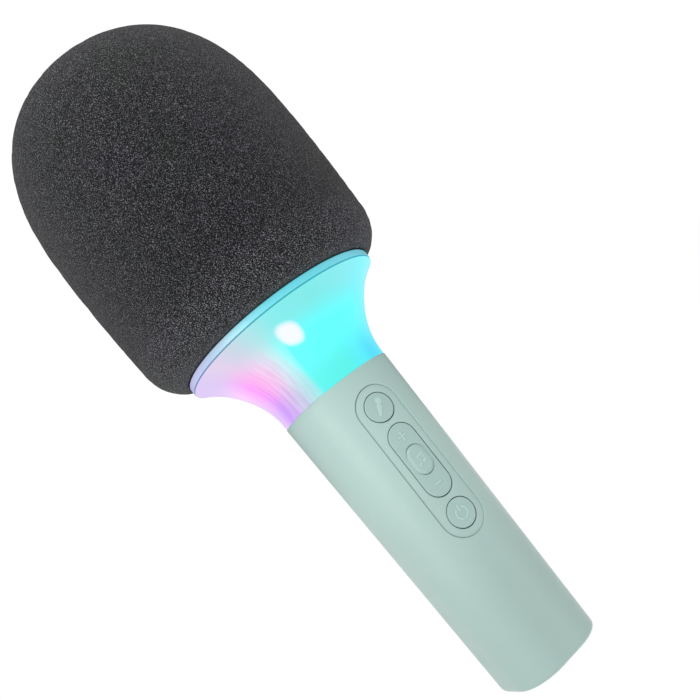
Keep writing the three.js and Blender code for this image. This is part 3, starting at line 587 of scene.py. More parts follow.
def hot_spot_share(tree, share, height):
    """1 inside the glare of the emitter that faces the front, 0 outside it."""
    across = added(tree, share, -0.5 - HOT_SPOT_TURN / 360)
    across = scaled(tree, across, 360 / HOT_SPOT_HALF_TURN)
    along = scaled(tree, added(tree, height, -HOT_SPOT_Z * MM), 1 / (HOT_SPOT_HALF_HEIGHT * MM))
    slanted = added(tree, along, scaled(tree, across, HOT_SPOT_SLANT))
    sizes = [arithmetic(tree, "ABSOLUTE", value, 0) for value in (across, slanted)]
    reach = added(tree, *[arithmetic(tree, "POWER", value, HOT_SPOT_POWER) for value in sizes])
    return map_range(tree, reach, *HOT_SPOT_RIM, smooth=True)


def feed_glow(tree, shader, glow, strength, paint):
    """Light the shader from within, and paint its surface with a share of the same colour."""
    feed(tree, shader.inputs["Emission Color"], glow)
    feed(tree, shader.inputs["Base Color"], multiply(tree, glow, grey(paint)))
    shader.inputs["Emission Strength"].default_value = strength


def glowing_neck():
    """The neck's translucent wall with a glossy skin, lit from inside by emitters of several colours, with
    painted reflection at its sides, a painted highlight in front and painted shade at its seam.
    """
    material, tree, shader = new_material("glowing_neck")
    share, height = facing_share(tree)
    wavering, streaks = streaked(tree, share, height)
    glow = glow_ramp(tree, wavering, NECK_GLOW_LOW)
    for (start, end), stops in ((MIDDLE_BLEND, NECK_GLOW_MIDDLE), (HIGH_BLEND, NECK_GLOW_HIGH)):
        blend = map_range(tree, height, start * MM, end * MM, smooth=True)
        glow = mix(tree, blend, glow, glow_ramp(tree, wavering, stops))
    glow = multiply(tree, glow, streaks)
    # Painted highlight: the emitter's glare in front.
    glow = mix(tree, hot_spot_share(tree, share, height), glow, colour(HOT_SPOT))
    # Painted shade in the seam under the rim band.
    seam = map_range(tree, height, (SEAM_LOW - 0.04) * MM, SEAM_LOW * MM)
    glow = mix(tree, seam, glow, multiply(tree, glow, SEAM_PAINTED_SHADE))
    lit = map_range(tree, height, (HANDLE_TOP - 0.1) * MM, NECK_BOTTOM * MM)
    glow = mix(tree, lit, grey(0.02), glow)
    feed_glow(tree, shader, glow, NECK_GLOW, 0.3)
    feed_all(tree, shader, {"Roughness": 0.45, "Specular IOR Level": 0.3})
    return material


def rim_material():
    """The translucent rim band, tinted by the light under it, with painted shade where it meets the seam."""
    material, tree, shader = new_material("translucent_rim")
    share, height = facing_share(tree)
    # Painted shade at the rim band's foot, in the seam.
    seam = map_range(tree, height, (SEAM_HIGH + 0.08) * MM, SEAM_HIGH * MM)
    rim = glow_ramp(tree, share, RIM_GLOW)
    glow = mix(tree, seam, rim, multiply(tree, rim, SEAM_PAINTED_SHADE))
    feed_glow(tree, shader, glow, RIM_GLOW_STRENGTH, 0.7)
    feed_all(tree, shader, {"Roughness": 0.3, "Coat Weight": 0.2})
    return material


def frosted_plastic():
    """Frosted translucent plastic of the inner light guide."""
    material, tree, shader = new_material("frosted_plastic")
    place = object_place(tree)
    tint = ramp(tree, noise_value(tree, place, 60.0), [(0.3, colour("e8f4f6")), (0.7, colour("f2fafa"))])
    values = {
        "Base Color": tint,
        "Normal": bump(tree, noise_value(tree, place, 4000.0), 0.15, GRAIN_HEIGHT),
        "Roughness": 0.5,
        "Subsurface Weight": 0.3,
        "Subsurface Radius": (0.004, 0.004, 0.004),
    }
    feed_all(tree, shader, values)
    return material


def plain_metal(name, tint, roughness):
    """Brushed or blasted metal with a fine grain."""
    material, tree, shader = new_material(name)
    place = object_place(tree)
    tone = ramp(tree, noise_value(tree, place, 900.0, 4.0), [(0.3, colour(tint)), (0.75, grey(0.62))])
    gloss = uneven_gloss(tree, place, 1500.0, 2.0, roughness, 0.07)
    feed_all(tree, shader, {"Base Color": tone, "Metallic": 1.0, "Roughness": gloss})
    return material


SAGE = moulded_plastic("sage_soft_touch", "adc7c1", "aac4be", 0.37, shine=0.45, tail_shade=0.88)
KEY = moulded_plastic("key_plastic", "a5c0ba", "a2bdb7", 0.4, shine=0.4)
SIGN = moulded_plastic("sign_relief", "b3cec8", "b0cbc5", 0.4, shine=0.4)
FOAM = foam_material()
NECK = glowing_neck()
RIM = rim_material()
# The plastics inside: their light and dark tones, their roughness and their coat.
PLASTICS = {
    "basket_plastic": ("33353a", "26282c", 0.55, 0.0),
    "circuit_board": ("24694a", "1b5138", 0.35, 0.3),
    "chip_black": ("212226", "18191b", 0.5, 0.0),
    "white_nylon": ("ededea", "dededa", 0.5, 0.0),
    "cell_wrap": ("5488c4", "47779f", 0.3, 0.3),
    "rubber_boot": ("2c2d31", "222326", 0.8, 0.0),
    "light_lens": ("fff6d8", "fff0c4", 0.3, 0.5),
    "lead_sheath": ("3c3d42", "2f3034", 0.6, 0.0),
}
INNER_MATERIALS = {
    "sage_shell": SAGE,
    "key_shell": KEY,
    **{name: moulded_plastic(name, *values[:3], coat=values[3]) for name, values in PLASTICS.items()},
    "cone_paper": moulded_plastic("cone_paper", "2c2d31", "1e1f22", 0.85, grain=0.0006, grain_strength=0.5),
    "frosted_guide": frosted_plastic(),
    "screw_steel": plain_metal("screw_steel", "c4c7cb", 0.32),
    "magnet_steel": plain_metal("magnet_steel", "4a4c50", 0.5),
}

# ---- handle

BARREL_COLUMNS = 144
PATCH_COLUMNS = 14
PATCH_MARGIN = 3.6
ROW_STEP = 1.5
LOWER_ROWS = 20
FILLET_STEPS = 8
# How far the rings round the panel's opening have moved from the patch's boundary to the opening.
RING_SHARES = (0.3, 0.55, 0.75, 0.9, 1.0)


def barrel_rows():
    """The barrel's closed profile as (depth, z), with the rows of its front patch on both faces."""
    patch_low = PANEL_LOW.z - PATCH_MARGIN
    patch_high = PANEL_HIGH.z + PATCH_MARGIN
    arc = spaced(0, math.pi / 2, FILLET_STEPS)
    rows = [(TAIL_LIP, RIM_EDGE * 2), (TAIL_LIP - RIM_EDGE, RIM_EDGE), (TAIL_LIP - 2 * RIM_EDGE, 0.0)]
    rows += [(TAIL_FILLET * (1 - math.sin(a)), TAIL_FILLET * (1 - math.cos(a))) for a in arc]
    heights = spaced(TAIL_FILLET, patch_low, LOWER_ROWS)[1:-1]
    patch = spaced(patch_low, patch_high, round((patch_high - patch_low) / ROW_STEP))
    rows += [(0.0, z) for z in heights + patch]
    rows += [(0.0, HANDLE_TOP - RIM_EDGE), (RIM_EDGE * 0.3, HANDLE_TOP - RIM_EDGE * 0.3)]
    rows += [(RIM_EDGE, HANDLE_TOP)]
    rows += [(HANDLE_WALL - RIM_EDGE, HANDLE_TOP), (HANDLE_WALL, HANDLE_TOP - RIM_EDGE)]
    rows += [(HANDLE_WALL, z) for z in reversed(heights + patch)]
    rows += [(HANDLE_WALL, TAIL_LIP_HEIGHT), (TAIL_LIP, TAIL_LIP_HEIGHT)]
    return rows, patch_low, patch_high


def barrel_mesh():
    """The barrel as one closed shell: a grid round the axis with a pill-shaped opening in its front."""
    mesh = bmesh.new()
    rows, patch_low, patch_high = barrel_rows()
    angles = [-math.pi / 2 + 2 * math.pi * i / BARREL_COLUMNS for i in range(BARREL_COLUMNS)]
    grid = []
    for depth, z in rows:
        radii = [section_radius(a, z, depth) for a in angles]
        grid.append([mesh.verts.new((r * math.cos(a), r * math.sin(a), z)) for r, a in zip(radii, angles)])
    inside = {}
    for depth in (0.0, HANDLE_WALL):
        layer = [j for j, row in enumerate(rows) if row[0] == depth]
        inside[depth] = [j for j in layer if patch_low - 1e-6 <= rows[j][1] <= patch_high + 1e-6]
    skipped_rows = {j for patch_rows in inside.values() for j in patch_rows[:-1]}
    for j in range(len(rows)):
        above = (j + 1) % len(rows)
        for i in range(BARREL_COLUMNS):
            in_front = i < PATCH_COLUMNS or i >= BARREL_COLUMNS - PATCH_COLUMNS
            if j in skipped_rows and in_front:
                continue
            k = (i + 1) % BARREL_COLUMNS
            mesh.faces.new((grid[j][i], grid[j][k], grid[above][k], grid[above][i]))
    rings = []
    for depth, patch_rows in inside.items():
        upward = sorted(patch_rows, key=lambda j: rows[j][1])
        rings.append(patch_rings(mesh, patch_boundary([grid[j] for j in upward]), depth))
    outer, inner = rings
    grid_faces(mesh, outer + list(reversed(inner)))
    return mesh


def patch_boundary(patch):
    """The vertices round the front patch, from its rows in order upwards."""
    boundary = [patch[0][i] for i in range(-PATCH_COLUMNS, PATCH_COLUMNS)]
    boundary += [row[PATCH_COLUMNS] for row in patch[:-1]]
    boundary += [patch[-1][i] for i in range(PATCH_COLUMNS, -PATCH_COLUMNS, -1)]
    return boundary + [row[-PATCH_COLUMNS] for row in reversed(patch[1:])]


def patch_rings(mesh, boundary, depth):
    """Rings of vertices from a patch's outer boundary to the edge of the panel opening."""
    radius = PANEL_RADIUS + OPENING_GAP
    edge = OPENING_EDGE if depth == 0 else 0.0
    rings = [boundary]
    for share in RING_SHARES:
        ring = []
        for vertex in boundary:
            x, z = vertex.co.x, vertex.co.z
            target = pill_point(x, z, PANEL_Z, radius + edge, PANEL_SPREAD)
            ring.append(mesh.verts.new(front_point(*between((x, z), target, share), depth)))
        rings.append(ring)
    if edge:
        for turn in spaced(0, math.pi / 2, 5)[1:]:
            out = radius + edge * (1 - math.sin(turn))
            ring = []
            for vertex in boundary:
                x, z = pill_point(vertex.co.x, vertex.co.z, PANEL_Z, out, PANEL_SPREAD)
                ring.append(mesh.verts.new(front_point(x, z, edge * (1 - math.cos(turn)))))
            rings.append(ring)
    return rings


finish_mesh("handle_sleeve", barrel_mesh(), SAGE, "handle", ["handle_barrel"])

# ---- panel and keys


def faces_outwards(piece):
    """True when the sheet's normals mostly point away from the long axis."""
    return sum((p.normal.x * p.center.x + p.normal.y * p.center.y) * p.area for p in piece.data.polygons) > 0


def thicken(piece, thickness, centred=False):
    """Give a sheet its thickness, towards the long axis or evenly to both sides."""
    solid = piece.modifiers.new("thickness", "SOLIDIFY")
    solid.thickness = thickness * MM
    solid.offset = -1 if faces_outwards(piece) else 1
    if centred:
        solid.offset = 0
    solid.use_even_offset = False


def round_edges(piece, edge):
    """Round a solid's sharp edges, and work the modifiers into its mesh."""
    rounding = piece.modifiers.new("edges", "BEVEL")
    rounding.width = edge * MM
    rounding.segments = 4
    rounding.limit_method = "ANGLE"
    rounding.angle_limit = math.radians(40)
    graph = bpy.context.evaluated_depsgraph_get()
    made = bpy.data.meshes.new_from_object(piece.evaluated_get(graph))
    piece.modifiers.clear()
    piece.data = made


def annulus(mesh, boundary, hole, depth):
    """Quads on the front face between a boundary and a pill-shaped hole in it."""
    rings = []
    for share in (0.0, 0.5, 1.0):
        ring = []
        for x, z in boundary:
            place = between((x, z), pill_point(x, z, *hole), share)
            ring.append(mesh.verts.new(front_point(*place, depth)))
        rings.append(ring)
    grid_faces(mesh, rings)


def panel_mesh():
    """The inlay: one cell round each of its three openings, drawn straight back to its thickness."""
    mesh = bmesh.new()
    hole_radius = KEY_RADIUS + KEY_GAP
    division = (EFFECT_Z - hole_radius + PANEL_Z + ROCKER_SPREAD + hole_radius) / 2 - PANEL_Z
    across = [PANEL_RADIUS * (1 - 2 * k / 16) for k in range(17)]
    side = [(PANEL_RADIUS, z) for z in spaced(-division, division, 28)[:-1]]
    middle = side + [(x, division) for x in across[:-1]]
    middle += [(-x, -z) for x, z in side] + [(-x, -division) for x in across[:-1]]
    cap = [(x, division) for x in reversed(across[1:])]
    cap += [(PANEL_RADIUS, z) for z in spaced(division, PANEL_SPREAD, 6)[:-1]]
    arc = spaced(0, math.pi, 40)
    cap += [(PANEL_RADIUS * math.cos(a), PANEL_SPREAD + PANEL_RADIUS * math.sin(a)) for a in arc]
    cap += [(-PANEL_RADIUS, z) for z in spaced(PANEL_SPREAD, division, 6)[1:-1]]
    holes = [
        (middle, 1, (PANEL_Z, hole_radius, ROCKER_SPREAD)),
        (cap, 1, (EFFECT_Z, hole_radius, 0.0)),
        (cap, -1, (POWER_Z, hole_radius, 0.0)),
    ]
    for boundary, way, hole in holes:
        placed = [(way * x, PANEL_Z + way * z) for x, z in boundary]
        annulus(mesh, placed, hole, PANEL_SINK)
    bmesh.ops.remove_doubles(mesh, verts=mesh.verts, dist=1e-4)
    bmesh.ops.translate(mesh, vec=Vector((PANEL_SHIFT[0], 0, PANEL_SHIFT[1])), verts=mesh.verts)
    back = bmesh.ops.extrude_face_region(mesh, geom=mesh.faces[:])["geom"]
    back = [item for item in back if isinstance(item, bmesh.types.BMVert)]
    bmesh.ops.translate(mesh, vec=Vector((0, PANEL_THICKNESS, 0)), verts=back)
    return mesh


def surface_rings(mesh, rings):
    """Rows of vertices from rings of (x, z, depth) points under the front face."""
    return [[mesh.verts.new(front_point(x, z, depth)) for x, z, depth in ring] for ring in rings]


def rounded_rim(centre_z, radius, spread, edge, top, back):
    """Rings from a key's back, up its side and over its rounded edge."""
    rings = [pill_ring(centre_z, radius - BACK_EDGE, spread, back)]
    rings.append(pill_ring(centre_z, radius, spread, back - BACK_EDGE))
    for turn in spaced(0, math.pi / 2, 6):
        inset = edge * (1 - math.cos(turn))
        rings.append(pill_ring(centre_z, radius - inset, spread, top + edge * (1 - math.sin(turn))))
    return rings


def round_key_mesh(centre_z):
    """A round key, whose face follows the curve of the handle."""
    mesh = bmesh.new()
    rings = rounded_rim(centre_z, KEY_RADIUS, 0.0, KEY_EDGE, KEY_SINK, KEY_SINK + KEY_THICKNESS)
    for share in (0.85, 0.65, 0.45, 0.25):
        rings.append(pill_ring(centre_z, KEY_RADIUS * share, 0.0, KEY_SINK))
    rows = surface_rings(mesh, rings)
    grid_faces(mesh, rows)
    close_with_fan(mesh, rows[0], front_point(0, centre_z, KEY_SINK + KEY_THICKNESS))
    close_with_fan(mesh, rows[-1], front_point(0, centre_z, KEY_SINK))
    return mesh


def rocker_mesh():
    """The volume rocker: a pill with an opening for the mode key."""
    mesh = bmesh.new()
    back = KEY_SINK + KEY_THICKNESS
    rings = rounded_rim(PANEL_Z, KEY_RADIUS, ROCKER_SPREAD, KEY_EDGE, KEY_SINK, back)
    outer = rings[-1]
    hole = (PANEL_Z, MODE_RADIUS + MODE_SIDE_GAP, MODE_SPREAD + MODE_END_GAP - MODE_SIDE_GAP)
    inner = [pill_point(x, z, *hole) for x, z, _ in outer]
    for share in (0.25, 0.5, 0.75, 0.93, 1.0):
        ring = [(*between((x, z), near, share), KEY_SINK) for (x, z, _), near in zip(outer, inner)]
        rings.append(ring)
    rings.append([(x, z, KEY_SINK + 0.04) for x, z in inner])
    rings.append([(x, z, back) for x, z in inner])
    grid_faces(mesh, surface_rings(mesh, rings), close_rows=True)
    return mesh


def mode_mesh():
    """The mode key: a soft pillow that rises from the rocker's face."""
    mesh = bmesh.new()
    rings = [pill_ring(PANEL_Z, MODE_RADIUS - inset, MODE_SPREAD, depth) for inset, depth in mode_profile()]
    rows = surface_rings(mesh, rings)
    grid_faces(mesh, rows)
    close_with_spine(mesh, rows[0])
    close_with_spine(mesh, rows[-1])
    return mesh


def close_with_spine(mesh, ring):
    """Quads across a pill-shaped ring, between its two long sides."""
    half = len(ring) // 2
    flipped = [ring[(half // 3 + i) % len(ring)] for i in range(len(ring))]
    for i in range(half - 1):
        corners = (flipped[i], flipped[i + 1], flipped[-i - 2], flipped[-i - 1])
        mesh.faces.new(corners)


def mode_profile():
    """(inset from the outline, depth) from the key's back, over its shoulder, to its top."""
    points = [(0.0, KEY_SINK + KEY_THICKNESS), (0.0, KEY_SINK + 0.06), (0.01, KEY_SINK + 0.01)]
    for share in spaced(0, 1, 12)[1:]:
        rise = MODE_RISE * math.sin(math.pi / 2 * share) ** 1.3
        points.append((MODE_SHOULDER * share, KEY_SINK - rise))
    points.append((MODE_RADIUS * 0.6, KEY_SINK - MODE_RISE - 0.01))
    points.append((MODE_RADIUS * 0.85, KEY_SINK - MODE_RISE - 0.02))
    return points


inlay = finish_mesh("control_inlay", panel_mesh(), SAGE, "handle", ["control_panel"])
round_edges(inlay, PANEL_EDGE)
finish_mesh("effect_button_cap", round_key_mesh(EFFECT_Z), KEY, "effect_button", ["effect_key"])
finish_mesh("power_button_cap", round_key_mesh(POWER_Z), KEY, "power_button", ["power_key"])
finish_mesh("volume_button_cap", rocker_mesh(), KEY, "volume_button", ["volume_rocker"])
finish_mesh("mode_button_cap", mode_mesh(), KEY, "mode_button", ["mode_key"])

# ---- signs on the keys

SIGN_HEIGHT = 0.18
SIGN_WIDTH = 0.3
LINE_STEPS = 8
STROKE_SIDES = 16


def signed_power(value, power):
    return math.copysign(abs(value) ** power, value)


def quarter_arc(step):
    """The cosine and the sine at one of the steps of a stroke's rounded end."""
    turn = math.pi / 2 * step / 5
    return math.cos(turn), math.sin(turn)


def stroke(mesh, points, widths, base_depth):
    """A raised stroke with rounded ends along (x, z) points, half sunk in the key's face."""
    spine = [Vector(point) for point in points]
    first = (spine[0] - spine[1]).normalized()
    last = (spine[-1] - spine[-2]).normalized()
    stations = []
    for k in range(5):
        out, rise = quarter_arc(k)
        stations.append((spine[0] + first * widths[0] * out, widths[0] * rise, rise))
    stations += [(point, width, 1.0) for point, width in zip(spine, widths)]
    for k in range(1, 6):
        rise, out = quarter_arc(k)
        stations.append((spine[-1] + last * widths[-1] * out, widths[-1] * rise, rise))
    rows = []
    for before, (place, width, rise), after in zip(stations, stations[1:], stations[2:]):
        along = (after[0] - before[0]).normalized()
        across = Vector((-along.y, along.x))
        row = []
        for turn in spaced(0, 2 * math.pi, STROKE_SIDES)[:-1]:
            out = width * signed_power(math.cos(turn), 0.6)
            depth = base_depth - SIGN_HEIGHT * rise * signed_power(math.sin(turn), 0.8)
            spot = place + across * out
            row.append(mesh.verts.new(front_point(spot.x, spot.y, depth)))
        rows.append(row)
    grid_faces(mesh, rows)
    mesh.faces.new(rows[0])
    mesh.faces.new(rows[-1])


def arc_points(centre, radius, start, end, steps):
    """(x, z) points of an arc, angles in degrees anticlockwise from +X."""
    turns = [math.radians(turn) for turn in spaced(start, end, steps)]
    return [(centre[0] + radius * math.cos(a), centre[1] + radius * math.sin(a)) for a in turns]


def line_points(start, end):
    return [between(start, end, k / LINE_STEPS) for k in range(LINE_STEPS + 1)]


def bar(mesh, start, end, width=SIGN_WIDTH, base_depth=KEY_SINK):
    """A straight stroke of one width."""
    stroke(mesh, line_points(start, end), [width] * (LINE_STEPS + 1), base_depth)


def plus_sign(mesh):
    z = PANEL_Z + VOLUME_OFFSET
    bar(mesh, (-1.3, z), (1.3, z))
    bar(mesh, (0, z - 1.3), (0, z + 1.3))


def minus_sign(mesh):
    z = PANEL_Z - VOLUME_OFFSET
    bar(mesh, (-1.1, z), (1.1, z))


def power_sign(mesh):
    ring = arc_points((0, POWER_Z - 0.1), 1.9, 90 + 38, 90 + 322, 32)
    stroke(mesh, ring, [SIGN_WIDTH] * len(ring), KEY_SINK)
    bar(mesh, (0, POWER_Z + 0.5), (0, POWER_Z + 2.3))


def microphone_sign(mesh):
    """A hand microphone, leaning to the right."""
    lean = Vector((0.498, 0.867))
    middle = Vector((0.1, EFFECT_Z))
    head = [middle + lean * reach for reach in (1.7, 1.95, 2.2)]
    stroke(mesh, head, [1.0, 1.05, 1.0], KEY_SINK)
    body = [middle + lean * (0.1 - 2.6 * k / 8) for k in range(9)]
    stroke(mesh, body, [0.88 - 0.4 * k / 8 for k in range(9)], KEY_SINK)


def note_sign(mesh):
    """Two music notes joined by a beam."""
    top = KEY_SINK - MODE_RISE
    for x, z in ((-0.75, PANEL_Z - 1.3), (1.05, PANEL_Z - 1.0)):
        bar(mesh, (x - 0.45, z - 0.1), (x - 0.15, z + 0.05), 0.42, top)
        bar(mesh, (x + 0.18, z + 0.1), (x + 0.18, z + 2.5), 0.17, top)
    bar(mesh, (-0.57, PANEL_Z + 1.1), (1.23, PANEL_Z + 1.4), 0.3, top)


SIGNS = {
    "volume_signs": ("volume_button", (plus_sign, minus_sign)),
    "power_sign": ("power_button", (power_sign,)),
    "effect_sign": ("effect_button", (microphone_sign,)),
    "mode_sign": ("mode_button", (note_sign,)),
}
for sign_name, (sign_body, draw_signs) in SIGNS.items():
    sign_mesh = bmesh.new()
    for draw in draw_signs:
        draw(sign_mesh)
    finish_mesh(sign_name, sign_mesh, SIGN, sign_body)

# ---- neck


def neck_radius(z, depth=0.0):
    """The neck's radius at a depth measured square to its surface."""
    share = max(0.0, z - NECK_FLARE_START) / NECK_FLARE_HEIGHT
    slope = NECK_FLARE * NECK_FLARE_POWER / NECK_FLARE_HEIGHT * share ** (NECK_FLARE_POWER - 1)
    lip = NECK_LIP_SPREAD * (max(0.0, z - NECK_LIP_START) / (NECK_TOP - NECK_LIP_START)) ** 2
    spread = 0.0 if depth else lip
    return NECK_RADIUS + NECK_FLARE * share**NECK_FLARE_POWER + spread - depth * math.hypot(1, slope)


def neck_curve(start, end, depth, steps):
    return [(neck_radius(z, depth), z) for z in spaced(start, end, steps)]


def neck_shell_profile():
    lip_top = NECK_HIGH.z
    lip = [
        (NECK_LIP_RADIUS, NECK_TOP + 0.08),
        (NECK_LIP_RADIUS - 0.04, SEAM_LOW),
        (NECK_LIP_RADIUS - SEAM_DEPTH, SEAM_LOW + 0.05),
        (NECK_LIP_RADIUS - SEAM_DEPTH, lip_top),
    ]
    inner_top = neck_radius(NECK_TOP, NECK_WALL)
    return (
        [(SPIGOT_INNER, NECK_LOW.z), (SPIGOT_OUTER, NECK_LOW.z), (SPIGOT_OUTER, NECK_BOTTOM)]
        + [(NECK_RADIUS - 0.1, NECK_BOTTOM), (NECK_RADIUS, NECK_BOTTOM + 0.1)]
        + neck_curve(NECK_BOTTOM + 0.6, NECK_TOP, 0.0, 44)
        + lip
        + [(inner_top + 0.5, lip_top)]
        + neck_curve(NECK_TOP, NECK_BOTTOM + 1.5, NECK_WALL, 36)
        + [(SPIGOT_OUTER - 0.5, NECK_BOTTOM), (SPIGOT_INNER, NECK_BOTTOM - 0.8)]
    )


def rim_profile():
    low, high = (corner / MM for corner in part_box("diffuser_collar"))
    corners = [
        (RIM_BORE, low.z, 0.0),
        (RIM_RADIUS - SEAM_DEPTH, low.z, 0.0),
        (RIM_RADIUS - SEAM_DEPTH, SEAM_HIGH, 0.0),
        (RIM_RADIUS, SEAM_HIGH, 0.12),
        (RIM_RADIUS, high.z, 0.55),
        (RIM_BORE, high.z, 0.2),
    ]
    return rounded_profile(corners)


ROUND_SEGMENTS = 256
shell = lathe_mesh(neck_shell_profile(), ROUND_SEGMENTS)
band = lathe_mesh(rim_profile(), ROUND_SEGMENTS)
finish_mesh("neck_shell", shell, NECK, "handle", ["neck_diffuser"])
finish_mesh("rim_band", band, RIM, "handle", ["diffuser_collar"])

# ---- foam

FOAM_SEGMENTS = 320
FOAM_LUMP = 0.22
FOAM_LUMP_SIZE = 2.6
# The mouth's rounding starts this far round its arc, in radians.
FOAM_MOUTH_TURN = 0.13


def foam_profile():
    """The foam's section, from the top of its bore down to the mouth and up the outside."""
    widest = FOAM_HIGH.x
    mouth = FOAM_LOW.z - 0.05
    bore = [(0.0, FOAM_BORE_DOME_Z + FOAM_BORE_DOME_HEIGHT)]
    for angle in spaced(math.pi / 2, 0, 24)[1:]:
        rise = FOAM_BORE_DOME_HEIGHT * math.sin(angle)
        bore.append((FOAM_BORE * math.cos(angle), FOAM_BORE_DOME_Z + rise))
    bore += [(FOAM_BORE, z) for z in spaced(FOAM_BORE_DOME_Z, mouth + 0.4, 20)[1:]]
    outer = []
    for turn in spaced(FOAM_MOUTH_TURN, math.pi / 2, 20)[:-1]:
        angle = turn - math.pi / 2
        radius = FOAM_MOUTH_RADIUS + (FOAM_SHOULDER_RADIUS - FOAM_MOUTH_RADIUS) * math.cos(angle)
        outer.append((radius, FOAM_SHOULDER_Z + (FOAM_SHOULDER_Z - mouth) * math.sin(angle)))
    for share in spaced(0, 1, 40)[:-1]:
        radius = FOAM_SHOULDER_RADIUS + (widest - FOAM_SHOULDER_RADIUS) * math.sin(math.pi / 2 * share)
        outer.append((radius, FOAM_SHOULDER_Z + (FOAM_WIDEST_Z - FOAM_SHOULDER_Z) * share))
    for angle in spaced(0, math.pi / 2, 90)[:-1]:
        width = math.cos(angle) ** (2 / FOAM_DOME_POWER)
        rise = math.sin(angle) ** (2 / FOAM_DOME_POWER)
        outer.append((widest * width, FOAM_WIDEST_Z + (FOAM_HIGH.z - FOAM_WIDEST_Z) * rise))
    return bore + outer + [(0.0, FOAM_HIGH.z)]


def foam_mesh():
    """The foam head with the slight lumps of its cell structure on the outside."""
    mesh = lathe_mesh(foam_profile(), FOAM_SEGMENTS)
    for vertex in mesh.verts:
        place = vertex.co
        across = math.hypot(place.x, place.y)
        outside = across > FOAM_BORE + 0.5 or place.z > FOAM_BORE_DOME_Z + FOAM_BORE_DOME_HEIGHT + 1
        if outside:
            lump = noise.noise(place / FOAM_LUMP_SIZE) * FOAM_LUMP
            away = Vector((place.x, place.y, max(0.0, place.z - FOAM_WIDEST_Z))).normalized()
            vertex.co = place + away * min(0.0, lump - FOAM_LUMP * 0.3)
    return mesh


foam = finish_mesh("foam_cover", foam_mesh(), FOAM, "foam_head", ["foam_windscreen"])

# ---- the cage under the foam

CAGE_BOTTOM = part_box("basket_cage")[0].z / MM
CAGE_RADIUS = 36.0
CAGE_WALL = 1.8
CAGE_DOME_Z = 198.0
CAGE_DOME_HEIGHT = 35.7
# The columns of one twelfth of the cage, in degrees: across a window, then across a rib.
CAGE_TURNS = (-9.6, -7.2, -3.6, 0.0, 3.6, 7.2, 9.6, 12.3, 15.0, 17.7)
CAGE_TWELFTH = 30.0
# Each tier of windows: its bottom, its top and half its turn.
CAGE_TIERS = ((145.0, 167.0, 9.6), (173.0, 195.0, 9.6), (200.5, 213.0, 7.2))
CROWN_RADII = (7.8, 5.2, 2.6)
CROWN_CIRCLE = 13.0
CROWN_HOLE = 2.6
CROWN_HALF_TURN = 9.6
CROSS_Z = 217.0
CROSS_WIDTH = 6.0
CROSS_THICKNESS = 2.0
CROSS_REACH = 29.0
CROSS_BORE = 1.5


def cage_height(radius):
    return CAGE_DOME_Z + CAGE_DOME_HEIGHT * math.sqrt(1 - (radius / CAGE_RADIUS) ** 2)


def cage_rows():
    """(radius, height) of the cage's rows, from the bottom up to its crown."""
    edges = [CAGE_BOTTOM, *CAGE_TIERS[0][:2], *CAGE_TIERS[1][:2], CAGE_DOME_Z]
    heights = [z for low, high in zip(edges, edges[1:]) for z in spaced(low, high, 4)[:-1]]
    rows = [(CAGE_RADIUS, z) for z in heights + [CAGE_DOME_Z]]
    bottom, top, _ = CAGE_TIERS[2]
    for z in spaced(bottom, top, 4):
        rows.append((CAGE_RADIUS * math.cos(math.asin((z - CAGE_DOME_Z) / CAGE_DOME_HEIGHT)), z))
    low, high = (math.acos(r / CAGE_RADIUS) for r in (rows[-1][0], CROWN_CIRCLE + CROWN_HOLE))
    slope = [CAGE_RADIUS * math.cos(angle) for angle in spaced(low, high, 8)[1:-1]]
    crown = [CROWN_CIRCLE + CROWN_HOLE * (1 - k / 2) for k in range(5)]
    return rows + [(r, cage_height(r)) for r in slope + crown + list(CROWN_RADII)]


def in_crown_hole(radius, turn):
    """True on and inside the block of the grid that a crown hole takes."""
    offset = (turn + CAGE_TWELFTH) % (2 * CAGE_TWELFTH) - CAGE_TWELFTH
    return abs(radius - CROWN_CIRCLE) < CROWN_HOLE + 1e-3 and abs(offset) < CROWN_HALF_TURN + 1e-3


def cage_point(radius, z, turn):
    """A point of the grid. Points round a crown hole are pulled onto its circle."""
    angle = math.radians(turn)
    place = Vector((radius * math.cos(angle), radius * math.sin(angle)))
    if in_crown_hole(radius, turn):
        middle = math.radians(round(turn / (2 * CAGE_TWELFTH)) * 2 * CAGE_TWELFTH)
        centre = CROWN_CIRCLE * Vector((math.cos(middle), math.sin(middle)))
        if (place - centre).length > 1e-3:
            place = centre + (place - centre).normalized() * CROWN_HOLE
            z = cage_height(place.length)
    return (place.x, place.y, z)


def is_cage_opening(low, high, turn):
    """True for a face that a window or a crown hole takes, from its two rows and its direction."""
    offset = (turn + CAGE_TWELFTH / 2) % CAGE_TWELFTH - CAGE_TWELFTH / 2
    for bottom, top, half_turn in CAGE_TIERS:
        if bottom - 1e-3 < low[1] and high[1] < top + 1e-3 and abs(offset) < half_turn:
            return True
    return in_crown_hole(low[0], turn) and in_crown_hole(high[0], turn)


def cage_mesh():
    """The cage's outer surface: ribs and bands round three tiers of windows, with holes in the crown."""
    mesh = bmesh.new()
    turns = [CAGE_TWELFTH * i + turn for i in range(12) for turn in CAGE_TURNS]
    rows = cage_rows()
    grid = [[mesh.verts.new(cage_point(r, z, turn)) for turn in turns] for r, z in rows]
    count = len(turns)
    for j in range(len(rows) - 1):
        for i, turn in enumerate(turns):
            step = (turns[(i + 1) % count] - turn) % 360
            if is_cage_opening(rows[j], rows[j + 1], turn + step / 2):
                continue
            k = (i + 1) % count
            mesh.faces.new((grid[j][i], grid[j][k], grid[j + 1][k], grid[j + 1][i]))
    close_with_fan(mesh, grid[-1], (0, 0, CAGE_DOME_Z + CAGE_DOME_HEIGHT))
    loose = [vertex for vertex in mesh.verts if not vertex.link_faces]
    bmesh.ops.delete(mesh, geom=loose, context="VERTS")
    return mesh


